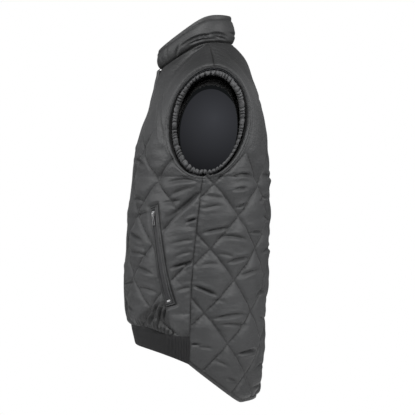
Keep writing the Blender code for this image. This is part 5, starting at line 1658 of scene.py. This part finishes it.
def make_tail_binding():
    """Folded strip along the tail's edge, from side seam to side seam."""
    share = both_halves(towards_edge(BINDING_SAMPLES))
    rings = []
    for down, side in BINDING_SECTION:
        z = back_hem(np.abs(share)) - SEAM_GAP - (BINDING_WIDTH - SEAM_GAP) * down
        u = share * width_at(BACK, z)
        waves = 1 + BINDING_UNEVEN * drift(u, z, BINDING_FIELD)
        lift = BINDING_MIDDLE + BINDING_WALL / 2 * side * waves
        rings.append(to_seam(BACK, on_panel(BACK, u, z, lift)))
    piece = loft("tail_binding_cloth", np.stack(rings, axis=1))
    # The strip is darker all over, and darkest along its seam, where the darkening is painted shade
    turned = np.array([BINDING_SHADE if down > 0 else SEAM_SHADE for down, _ in BINDING_SECTION])
    write_painted_shade(piece, "seam", np.tile(turned, len(share)))
    return piece


# Sewing

STITCH = np.array([(-1, 0, 0), (1, 0, 0), (0, 1, 0), (0, -1, 0), (0, 0, 1), (0, 0, -1)], float)
STITCH_SIDES = ((1, 2, 4), (2, 0, 4), (0, 3, 4), (3, 1, 4), (2, 1, 5), (0, 2, 5), (3, 0, 5), (1, 3, 5))
STITCH_FACES = np.array([(*side, -1) for side in STITCH_SIDES])
Run = namedtuple("Run", "starts ends outs")


def stitch_run(path, outs):
    """Stitches along a line of points on the cloth."""
    lengths = lengths_along(path)
    middles = np.arange(STITCH_PITCH / 2, lengths[-1], STITCH_PITCH)
    half = STITCH_LENGTH / 2
    starts, ends = points_at(path, lengths, middles - half), points_at(path, lengths, middles + half)
    return Run(starts, ends, unit(points_at(outs, lengths, middles)))


def sew(name, runs):
    """One mesh of all the stitches of some runs."""
    starts, ends, outs = (np.concatenate([run[k] for run in runs]) for k in range(3))
    along = (ends - starts) / 2
    across = np.cross(unit(along), outs)
    axes = np.stack([along, across * THREAD, outs * THREAD], axis=1)
    return many(name, STITCH, STITCH_FACES, (starts + ends) / 2, axes, sharp=STITCH_SHARP)


def quilt_runs(panel, hem, signs):
    """Stitches along the sewn lines of a panel."""
    runs = []
    z = np.arange(panel.rows[0].level, panel.quilt_top, LINE_STEP)
    up = (z - panel.quilt_z) / QUILT_HALF_HEIGHT
    width = width_at(panel, z)
    lines = [(slope, k) for slope in (1, -1) for k in range(-LINES_ASIDE, LINES_ASIDE + 1)]
    for sign in signs:
        for slope, k in lines:
            u = from_lattice(panel, panel.quilt_u + QUILT_HALF_WIDTH * (2 * k - slope * up))
            inside = (u > panel.start_u + STITCH_PITCH) & (u < width - STITCH_PITCH)
            inside &= z > hem(np.clip(u / width, 0, 1)) + STITCH_PITCH
            inside &= (slope < 0) | (cross_share(panel, u, z) > SEWN_SHARE)
            if np.count_nonzero(inside) > 1:
                runs += sewn_line(panel, hem, u[inside], z[inside], sign)
    return runs


def sewn_line(panel, hem, u, z, sign):
    """One sewn line, where the quilting shows."""
    t = parameter_at(panel, z, u)
    points, out, cloth = cloth_on(panel, hem, z, t, u, np.full_like(u, sign))
    keep = (quilted_share(panel, cloth) > SEWN_SHARE) & (cloth.arm_gap > RIM_WIDTH + SECOND_RIM_WIDTH)
    if np.count_nonzero(keep) < 2:
        return []
    lift = panel_lift(panel, cloth) + THREAD_LIFT
    path = to_seam(panel, points + out * lift[:, None])
    return [stitch_run(path[keep], out[keep])]


def armhole_run(panel, gap, turn):
    """Stitches beside the armhole's edge."""
    edge, out = (armhole_edge(panel, ARM_STITCHES, read_off) for read_off in (surface, face_out))
    away = unit(np.cross(np.gradient(edge, axis=0), out))
    outside = np.sum(away * (edge - edge.mean(axis=0)), axis=1, keepdims=True)
    away = away * np.sign(np.median(outside))
    far = np.ones(ARM_STITCHES)
    width = width_at(panel, np.linspace(UNDERARM_Z, panel.top_z, ARM_STITCHES))
    lift = panel_lift(panel, Cloth(width, edge[:, 2], far, far * gap, far, far)) + THREAD_LIFT
    path = to_seam(panel, edge + away * gap + out * lift[:, None])
    return stitch_run(path * turn, out * turn)


def collar_runs():
    """Topstitching below the collar's upper edge."""
    degrees = np.linspace(COLLAR_STITCH_START, 360 - COLLAR_STITCH_START, COLLAR_STITCHES)
    rings = collar_section(degrees)
    height = collar_heights(degrees)
    share = (height - TOPSTITCH_DROP) / (height - COLLAR_WALL / 2)
    place = np.clip(share * (COLLAR_LEVELS - 1), 0, COLLAR_LEVELS - 1 - TINY)
    k = place.astype(int)
    rows = np.arange(len(degrees))
    path = rings[rows, k] * (1 - (place - k))[:, None] + rings[rows, k + 1] * (place - k)[:, None]
    return [stitch_run(path + neck_out(degrees) * THREAD_LIFT, neck_out(degrees))]


def pocket_runs(turn):
    """Topstitching round a welt, and the bar tacks across its ends."""
    base = LAID_LIFT + POCKET_WALL * WELT_STITCH_HEIGHT
    end, aside = POCKET_END * WELT_STITCH_END, POCKET_WIDTH * WELT_STITCH_SIDE
    near = rectangle((-end, -aside), (POCKET_LENGTH + end, aside), WELT_STITCHES)
    loops = [np.concatenate([near, near[:1]])]
    across = np.linspace(-POCKET_WIDTH * TACK_SIDE, POCKET_WIDTH * TACK_SIDE, TACK_STITCHES)
    for place in (-POCKET_END * TACK_TOP, POCKET_LENGTH + POCKET_END * TACK_BOTTOM):
        loops.append(np.stack([np.full_like(across, place), across], -1))
    runs = []
    for loop in loops:
        path, above = (pocket_points(loop[:, 0], loop[:, 1], lift) for lift in (base, base + PROBE))
        runs.append(stitch_run(path * turn, unit(above - path) * turn))
    return runs


def strip_run(panel, u, z, lift):
    """Stitches along a line of cloth coordinates."""
    path = on_panel(panel, u, z, lift)
    return stitch_run(path, unit(on_panel(panel, u, z, lift + PROBE) - path))


def flap_runs():
    """Topstitching along both edges of the storm flap."""
    z = np.linspace(FLAP_TOP_Z - FLAP_STITCH_TOP, FLAP_BOTTOM_Z + FLAP_STITCH_BOTTOM, FLAP_STITCHES)
    lift = LAID_LIFT + FLAP_WALL - TOPSTITCH_DEPTH + THREAD
    u = np.full_like(z, FLAP_HALF_WIDTH - FLAP_STITCH_INSET)
    return [strip_run(FRONT, side * u, z, lift) for side in (-1, 1)]


def binding_runs():
    """Stitches along the binding of the tail."""
    share = both_halves(towards_edge(BINDING_STITCHES))
    z = back_hem(np.abs(share)) - BINDING_WIDTH * BINDING_STITCH_SHARE
    return [strip_run(BACK, share * width_at(BACK, z), z, BINDING_MIDDLE + BINDING_WALL / 2)]


# Materials

def adjust(made, **values):
    """Set a node's inputs by name, with _ for a space, or else its settings."""
    for key, value in values.items():
        title = key.replace("_", " ")
        if title in made.inputs:
            made.inputs[title].default_value = value
        else:
            setattr(made, key, value)
    return made


def node(tree, kind, **values):
    """A new shader node with its inputs and settings."""
    return adjust(tree.nodes.new(kind), **values)


def new_material(name):
    """A material, its tree and its shader."""
    material = bpy.data.materials.new(name)
    material.use_nodes = True
    return material, material.node_tree, material.node_tree.nodes["Principled BSDF"]


def mixed(tree, first, second):
    """A mix of two colours."""
    return node(tree, "ShaderNodeMix", data_type="RGBA", A=(*first, 1), B=(*second, 1))


def chain(tree, operation, first, second):
    """A sum on two sockets or numbers."""
    made = node(tree, "ShaderNodeMath", operation=operation)
    for k, value in enumerate((first, second)):
        if isinstance(value, (int, float)):
            made.inputs[k].default_value = value
        else:
            tree.links.new(value, made.inputs[k])
    return made.outputs["Value"]


def sewn_painted_shade(tree):
    """Painted shade along the quilting's sewn lines, from places on its lattice, and 0 away from them."""
    place = node(tree, "ShaderNodeUVMap", uv_map="cloth")
    parts = node(tree, "ShaderNodeSeparateXYZ")
    tree.links.new(place.outputs["UV"], parts.inputs["Vector"])
    across, up = parts.outputs["X"], parts.outputs["Y"]
    width = LINE_SHADE_WIDTH / QUILT_SPACING
    shades = []
    for operation, title in (("ADD", "crossed"), ("SUBTRACT", "quilted")):
        line = chain(tree, "MULTIPLY", chain(tree, operation, across, up), 0.5)
        fall = node(tree, "ShaderNodeMapRange", interpolation_type="SMOOTHSTEP", From_Max=width, To_Min=1.0,
                    To_Max=0.0)
        tree.links.new(chain(tree, "PINGPONG", line, 0.5), fall.inputs["Value"])
        shown = node(tree, "ShaderNodeAttribute", attribute_name=title)
        shades.append(chain(tree, "MULTIPLY", fall.outputs["Result"], shown.outputs["Fac"]))
    return chain(tree, "MAXIMUM", *shades)


def cloth_material(name, look, sewn=False):
    """Woven or knitted cloth: mottled colour darkened toward black by its painted shade, uneven gloss and a
    fine weave.
    """
    material, tree, shader = new_material(name)
    adjust(shader, Sheen_Weight=look.sheen, Sheen_Roughness=0.5)
    place = node(tree, "ShaderNodeTexCoord").outputs["Object"]
    mottle = node(tree, "ShaderNodeTexNoise", Scale=26.0, Detail=6.0, Roughness=0.62)
    colour = mixed(tree, look.dark, look.light)
    # The colour mixed toward black by the painted shade
    shaded = mixed(tree, look.dark, (0, 0, 0))
    low, high = (look.roughness + change for change in GLOSS_SPREAD)
    gloss = node(tree, "ShaderNodeMapRange", To_Min=low, To_Max=high)
    warp, weft = (node(tree, "ShaderNodeTexWave", bands_direction=way, Scale=look.weave, Distortion=0.8)
                  for way in "YZ")
    raised = node(tree, "ShaderNodeBump", Strength=look.bump, Distance=0.0004)
    flattened = node(tree, "ShaderNodeMapping", Scale=WRINKLE_SQUEEZE)
    wrinkles = node(tree, "ShaderNodeTexNoise", Scale=70.0, Detail=4.0, Roughness=0.55)
    wrinkled = node(tree, "ShaderNodeBump", Strength=look.wrinkle, Distance=0.0025)
    # Painted shade, read from the "seam" attribute and, on quilted cloth, from the sewn lines
    painted_shade_amount = node(tree, "ShaderNodeAttribute", attribute_name="seam").outputs["Fac"]
    if sewn:
        painted_shade_amount = chain(tree, "MAXIMUM", painted_shade_amount, sewn_painted_shade(tree))
    woven = chain(tree, "ADD", warp.outputs["Fac"], weft.outputs["Fac"])
    for source, target in (
        (place, mottle.inputs["Vector"]),
        (place, warp.inputs["Vector"]),
        (place, weft.inputs["Vector"]),
        (place, flattened.inputs["Vector"]),
        (mottle.outputs["Fac"], colour.inputs["Factor"]),
        (colour.outputs["Result"], shaded.inputs["A"]),
        (painted_shade_amount, shaded.inputs["Factor"]),
        (shaded.outputs["Result"], shader.inputs["Base Color"]),
        (mottle.outputs["Fac"], gloss.inputs["Value"]),
        (gloss.outputs["Result"], shader.inputs["Roughness"]),
        (flattened.outputs["Vector"], wrinkles.inputs["Vector"]),
        (wrinkles.outputs["Fac"], wrinkled.inputs["Height"]),
        (woven, raised.inputs["Height"]),
        (wrinkled.outputs["Normal"], raised.inputs["Normal"]),
        (raised.outputs["Normal"], shader.inputs["Normal"]),
    ):
        tree.links.new(source, target)
    return material


def hard_material(name, look):
    """Plated metal or moulded plastic, with faint scratches in its gloss."""
    material, tree, shader = new_material(name)
    adjust(shader, Metallic=look.metallic)
    place = node(tree, "ShaderNodeTexCoord").outputs["Object"]
    marks = node(tree, "ShaderNodeTexNoise", Scale=700.0, Detail=3.0)
    tint = mixed(tree, look.colour, [value * (1 - look.wear) for value in look.colour])
    low, high = (look.roughness * change for change in HARD_GLOSS_SPREAD)
    gloss = node(tree, "ShaderNodeMapRange", To_Min=low, To_Max=high)
    for source, target in (
        (place, marks.inputs["Vector"]),
        (marks.outputs["Fac"], tint.inputs["Factor"]),
        (tint.outputs["Result"], shader.inputs["Base Color"]),
        (marks.outputs["Fac"], gloss.inputs["Value"]),
        (gloss.outputs["Result"], shader.inputs["Roughness"]),
    ):
        tree.links.new(source, target)
    return material


def finish_piece(piece, material, stands_for=(), body="vest"):
    """Give a piece its material, its body and the nodes that it stands for."""
    piece.data.materials.append(material)
    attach(piece, body)
    if stands_for:
        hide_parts(*stands_for)
    return piece


# Flat cuts of the cloth

def cut(points):
    """Width, length and area of a cut: the longest row and column of its grid of points, and its cells."""
    across, down = np.diff(points, axis=1), np.diff(points, axis=0)
    width = np.linalg.norm(across, axis=-1).sum(axis=1).max()
    length = np.linalg.norm(down, axis=-1).sum(axis=0).max()
    cells = np.linalg.norm(np.cross(across[:-1], down[:, :-1]), axis=-1)
    return width, length, min(cells.sum(), width * length)


def panel_cut(panel, hem, sides):
    return cut(panel_grid(panel, hem, sides, CUT_ROWS, CUT_ROWS)[0])


def flap_cut():
    z = np.linspace(FLAP_TOP_Z, FLAP_BOTTOM_Z, CUT_ROWS)[:, None]
    return cut(on_panel(FRONT, np.linspace(-FLAP_HALF_WIDTH, FLAP_HALF_WIDTH, FLAP_COLUMNS), z, 0.0))


def rib_cut():
    """The rib before it is stretched to the width of its front."""
    share = np.linspace(0, 1, CUT_ROWS)
    z = np.stack([front_hem(share), rib_hem(share)])
    u = FRONT.start_u + (width_at(FRONT, z) - FRONT.start_u) * share
    width, length, area = cut(on_panel(FRONT, u, z, 0.0))
    return width / RIB_STRETCH, length, area / RIB_STRETCH


def binding_cut():
    """The strip before it is folded over the tail's edge."""
    share = both_halves(towards_edge(CUT_ROWS))
    z = tail_hem(np.abs(share))
    edge = on_panel(BACK, share * width_at(BACK, z), z, 0.0)
    length = lengths_along(edge)[-1]
    return length, 2 * BINDING_WIDTH, length * 2 * BINDING_WIDTH


def ring_cut():
    """The strip before it is gathered on its elastic."""
    edges = (armhole_edge(FRONT, CUT_ROWS), armhole_edge(BACK, CUT_ROWS))
    length = RING_FULLNESS * sum(lengths_along(edge)[-1] for edge in edges)
    return length, RING_STRIP, length * RING_STRIP


# Camera, light and stage

def add_camera():
    """A level camera on the wearer's left, framed as the photograph is."""
    data = bpy.data.cameras.new("camera")
    data.sensor_width = SENSOR
    data.lens = SENSOR * CAMERA_DISTANCE / VIEW_WIDTH
    camera = add_object("camera", data, Vector(AIM) + Vector((CAMERA_DISTANCE, 0, 0)))
    camera.rotation_euler = (math.pi / 2, 0, math.pi / 2)
    bpy.context.scene.camera = camera


def add_light(name, place, size, power):
    """A square soft box that faces the middle of the vest."""
    data = bpy.data.lights.new(name, "AREA")
    data.shape = "SQUARE"
    data.size = size
    data.energy = power
    lamp = add_object(name, data, place)
    lamp.rotation_euler = (Vector(AIM) - Vector(place)).to_track_quat("-Z", "Y").to_euler()


def add_world():
    """White surroundings to the camera, softer as light."""
    world = bpy.data.worlds.new("studio")
    bpy.context.scene.world = world
    world.use_nodes = True
    tree = world.node_tree
    tree.nodes.clear()
    seen = node(tree, "ShaderNodeBackground", Color=(1, 1, 1, 1), Strength=1.0)
    light = node(tree, "ShaderNodeBackground", Color=(1, 1, 1, 1), Strength=WORLD_LIGHT)
    rays = node(tree, "ShaderNodeLightPath")
    pick = node(tree, "ShaderNodeMixShader")
    result = node(tree, "ShaderNodeOutputWorld")
    tree.links.new(rays.outputs["Is Camera Ray"], pick.inputs["Fac"])
    tree.links.new(light.outputs["Background"], pick.inputs[1])
    tree.links.new(seen.outputs["Background"], pick.inputs[2])
    tree.links.new(pick.outputs["Shader"], result.inputs["Surface"])


def stage_piece(name, bm, colour, place, glow=(0, 0, 0), soft=None):
    """A plain matt piece of the stage, lit from within by its glow, which may fall off from a soft middle."""
    mesh = finished_mesh(name, bm)
    material, tree, shader = new_material(name)
    adjust(shader, Base_Color=(*colour, 1), Roughness=0.9, Emission_Color=(*glow, 1), Emission_Strength=1.0)
    if soft is not None:
        where = node(tree, "ShaderNodeTexCoord").outputs["Object"]
        moved = node(tree, "ShaderNodeMapping", Location=soft)
        middle = node(tree, "ShaderNodeTexGradient", gradient_type="SPHERICAL")
        # Painted light: the glow is brightest at the middle and falls off outward
        low, high = DOME_CARD_PAINTED_LIGHT
        strength = node(tree, "ShaderNodeMapRange", To_Min=low, To_Max=high)
        tree.links.new(where, moved.inputs["Vector"])
        tree.links.new(moved.outputs["Vector"], middle.inputs["Vector"])
        tree.links.new(middle.outputs["Fac"], strength.inputs["Value"])
        tree.links.new(strength.outputs["Result"], shader.inputs["Emission Strength"])
    mesh.materials.append(material)
    piece = add_object(name, mesh, place)
    return piece


def add_stage():
    """A pale round floor below the vest, and far-off glowing cards that show only through the open armholes:
    a dark one as painted shade for the vest's shadowed inside, and an oval one as painted light and shade of
    the far lining, brightest at its middle.
    """
    bm = bmesh.new()
    bmesh.ops.create_circle(bm, cap_ends=True, segments=CIRCLE_POINTS, radius=FLOOR_RADIUS)
    stage_piece("floor", bm, FLOOR_COLOUR, (0, 0, FLOOR_Z), glow=FLOOR_GLOW)
    for name, side in (("far", -1), ("near", 1)):
        bm = bmesh.new()
        bmesh.ops.create_grid(bm, x_segments=1, y_segments=1, size=0.5)
        bmesh.ops.scale(bm, vec=(CARD_HEIGHT, CARD_WIDTH, 1), verts=bm.verts)
        card_place = (side * CARD_DISTANCE, CARD_Y, CARD_Z)
        card = stage_piece(name + "_card", bm, (0, 0, 0), card_place, glow=CARD_SHADE_GLOW)
        bm = bmesh.new()
        bmesh.ops.create_circle(bm, cap_ends=True, segments=CIRCLE_POINTS, radius=0.5)
        bmesh.ops.scale(bm, vec=(DOME_CARD_HEIGHT, DOME_CARD_WIDTH, 1), verts=bm.verts)
        dome_place = (side * DOME_CARD_DISTANCE, DOME_CARD_Y, DOME_CARD_Z)
        dome = stage_piece(name + "_dome_card", bm, (0, 0, 0), dome_place, DOME_CARD_PAINTED_GLOW, DOME_CARD_MIDDLE)
        for piece in (card, dome):
            piece.rotation_euler = (0, math.pi / 2, 0)


# Making everything

bpy.context.scene.view_settings.view_transform = "Standard"
add_camera()
add_world()
for light in LIGHTS:
    add_light(*light)
add_stage()

nylon_quilted = cloth_material("quilted_nylon", NYLON, sewn=True)
nylon = cloth_material("plain_nylon", NYLON)
gathered_nylon = cloth_material("gathered_nylon", RING)
knit = cloth_material("rib_knit", KNIT)
lining_cloth = cloth_material("lining_cloth", LINING)
tape_cloth = cloth_material("zip_tape", TAPE)
thread = cloth_material("thread", THREAD_LOOK)
plated = hard_material("plated_metal", PLATED)
bright = hard_material("bright_metal", BRIGHT)
moulded = hard_material("moulded_tab", MOULDED)
coil = hard_material("zip_teeth", COIL)


def add_panel(title, panel, hem, sides, cells, lining_sides, lining_cells):
    """A quilted panel and the lining inside it."""
    piece = quilted_panel(f"{title}_cloth", panel, hem, sides, cells)
    finish_piece(piece, nylon_quilted, [title])
    panel_cut(panel, hem, sides)
    inside = lining(f"lining_{title}_cloth", panel, hem, lining_sides, lining_cells)
    finish_piece(inside, lining_cloth, [f"lining_{title}"])
    panel_cut(panel, hem, lining_sides)
    return piece


def add_zip(made, stands_for):
    """A zip's tape and teeth."""
    tape, tape_teeth = made
    finish_piece(tape, tape_cloth, [stands_for])
    finish_piece(tape_teeth, coil)


def add_slider(zip_name, suffix, place, body):
    """A zip's slider with its pull tab."""
    slider = f"{zip_name}_slider{suffix}"
    finish_piece(make_slider(f"{slider}_body", place), plated, [slider])
    rim, grip = make_tab(f"{zip_name}_pull{suffix}", hinge_frame(place))
    finish_piece(rim, plated, body=body)
    finish_piece(grip, moulded, [f"{zip_name}_tab{suffix}"], body=body)


SIDES = (("left", np.array([1.0, 1.0, 1.0])), ("right", np.array([-1.0, 1.0, 1.0])))
back_sides, back_lining_sides = (both_halves(towards_edge(count)) for count in (BACK_COLUMNS, LINING_COLUMNS))
back = add_panel("back", BACK, back_hem, back_sides, BACK_CELLS, back_lining_sides, BACK_LINING_CELLS)
collar = finish_piece(make_collar(), nylon, ["collar"])
flap = finish_piece(make_storm_flap(), nylon, ["storm_flap"])
flap_cut()
binding = finish_piece(make_tail_binding(), nylon, ["tail_binding"])
binding_cut()
add_zip(make_front_zip(), "front_zip")
add_slider("front", "", front_zip_frame(), "tab_front")

for suffix, turn in SIDES:
    sides, lining_sides = (towards_edge(count) * turn[0] for count in (FRONT_COLUMNS, LINING_COLUMNS))
    title = f"front_{suffix}"
    front = add_panel(title, FRONT, front_hem, sides, FRONT_CELLS, lining_sides, FRONT_LINING_CELLS)
    ring = finish_piece(make_ring(suffix, turn), gathered_nylon, [f"armhole_ring_{suffix}"])
    ring_cut()
    rib = finish_piece(make_rib(suffix, turn), knit, [f"rib_{suffix}"])
    rib_cut()
    welt = finish_piece(make_welt(suffix, turn), nylon, [f"pocket_welt_{suffix}"])
    add_zip(make_pocket_zip(suffix, turn), f"pocket_zip_{suffix}")
    finish_piece(make_stop(suffix, turn), bright, [f"pocket_stop_{suffix}"])
    slider_place = pocket_frame(SLIDER_REST, LAID_LIFT + ZIP_WALL / 2 + SEAM_GAP, turn)
    add_slider("pocket", f"_{suffix}", slider_place, f"tab_{suffix}")
    runs = quilt_runs(FRONT, front_hem, [turn[0]]) + pocket_runs(turn)
    runs += [armhole_run(panel, RIM_WIDTH, turn) for panel in (FRONT, BACK)]
    finish_piece(sew(f"stitches_{suffix}", runs), thread)
back_runs = quilt_runs(BACK, back_hem, [1.0, -1.0]) + binding_runs()
finish_piece(sew("stitches_back", back_runs), thread)
finish_piece(sew("stitches_collar", collar_runs() + flap_runs()), thread)
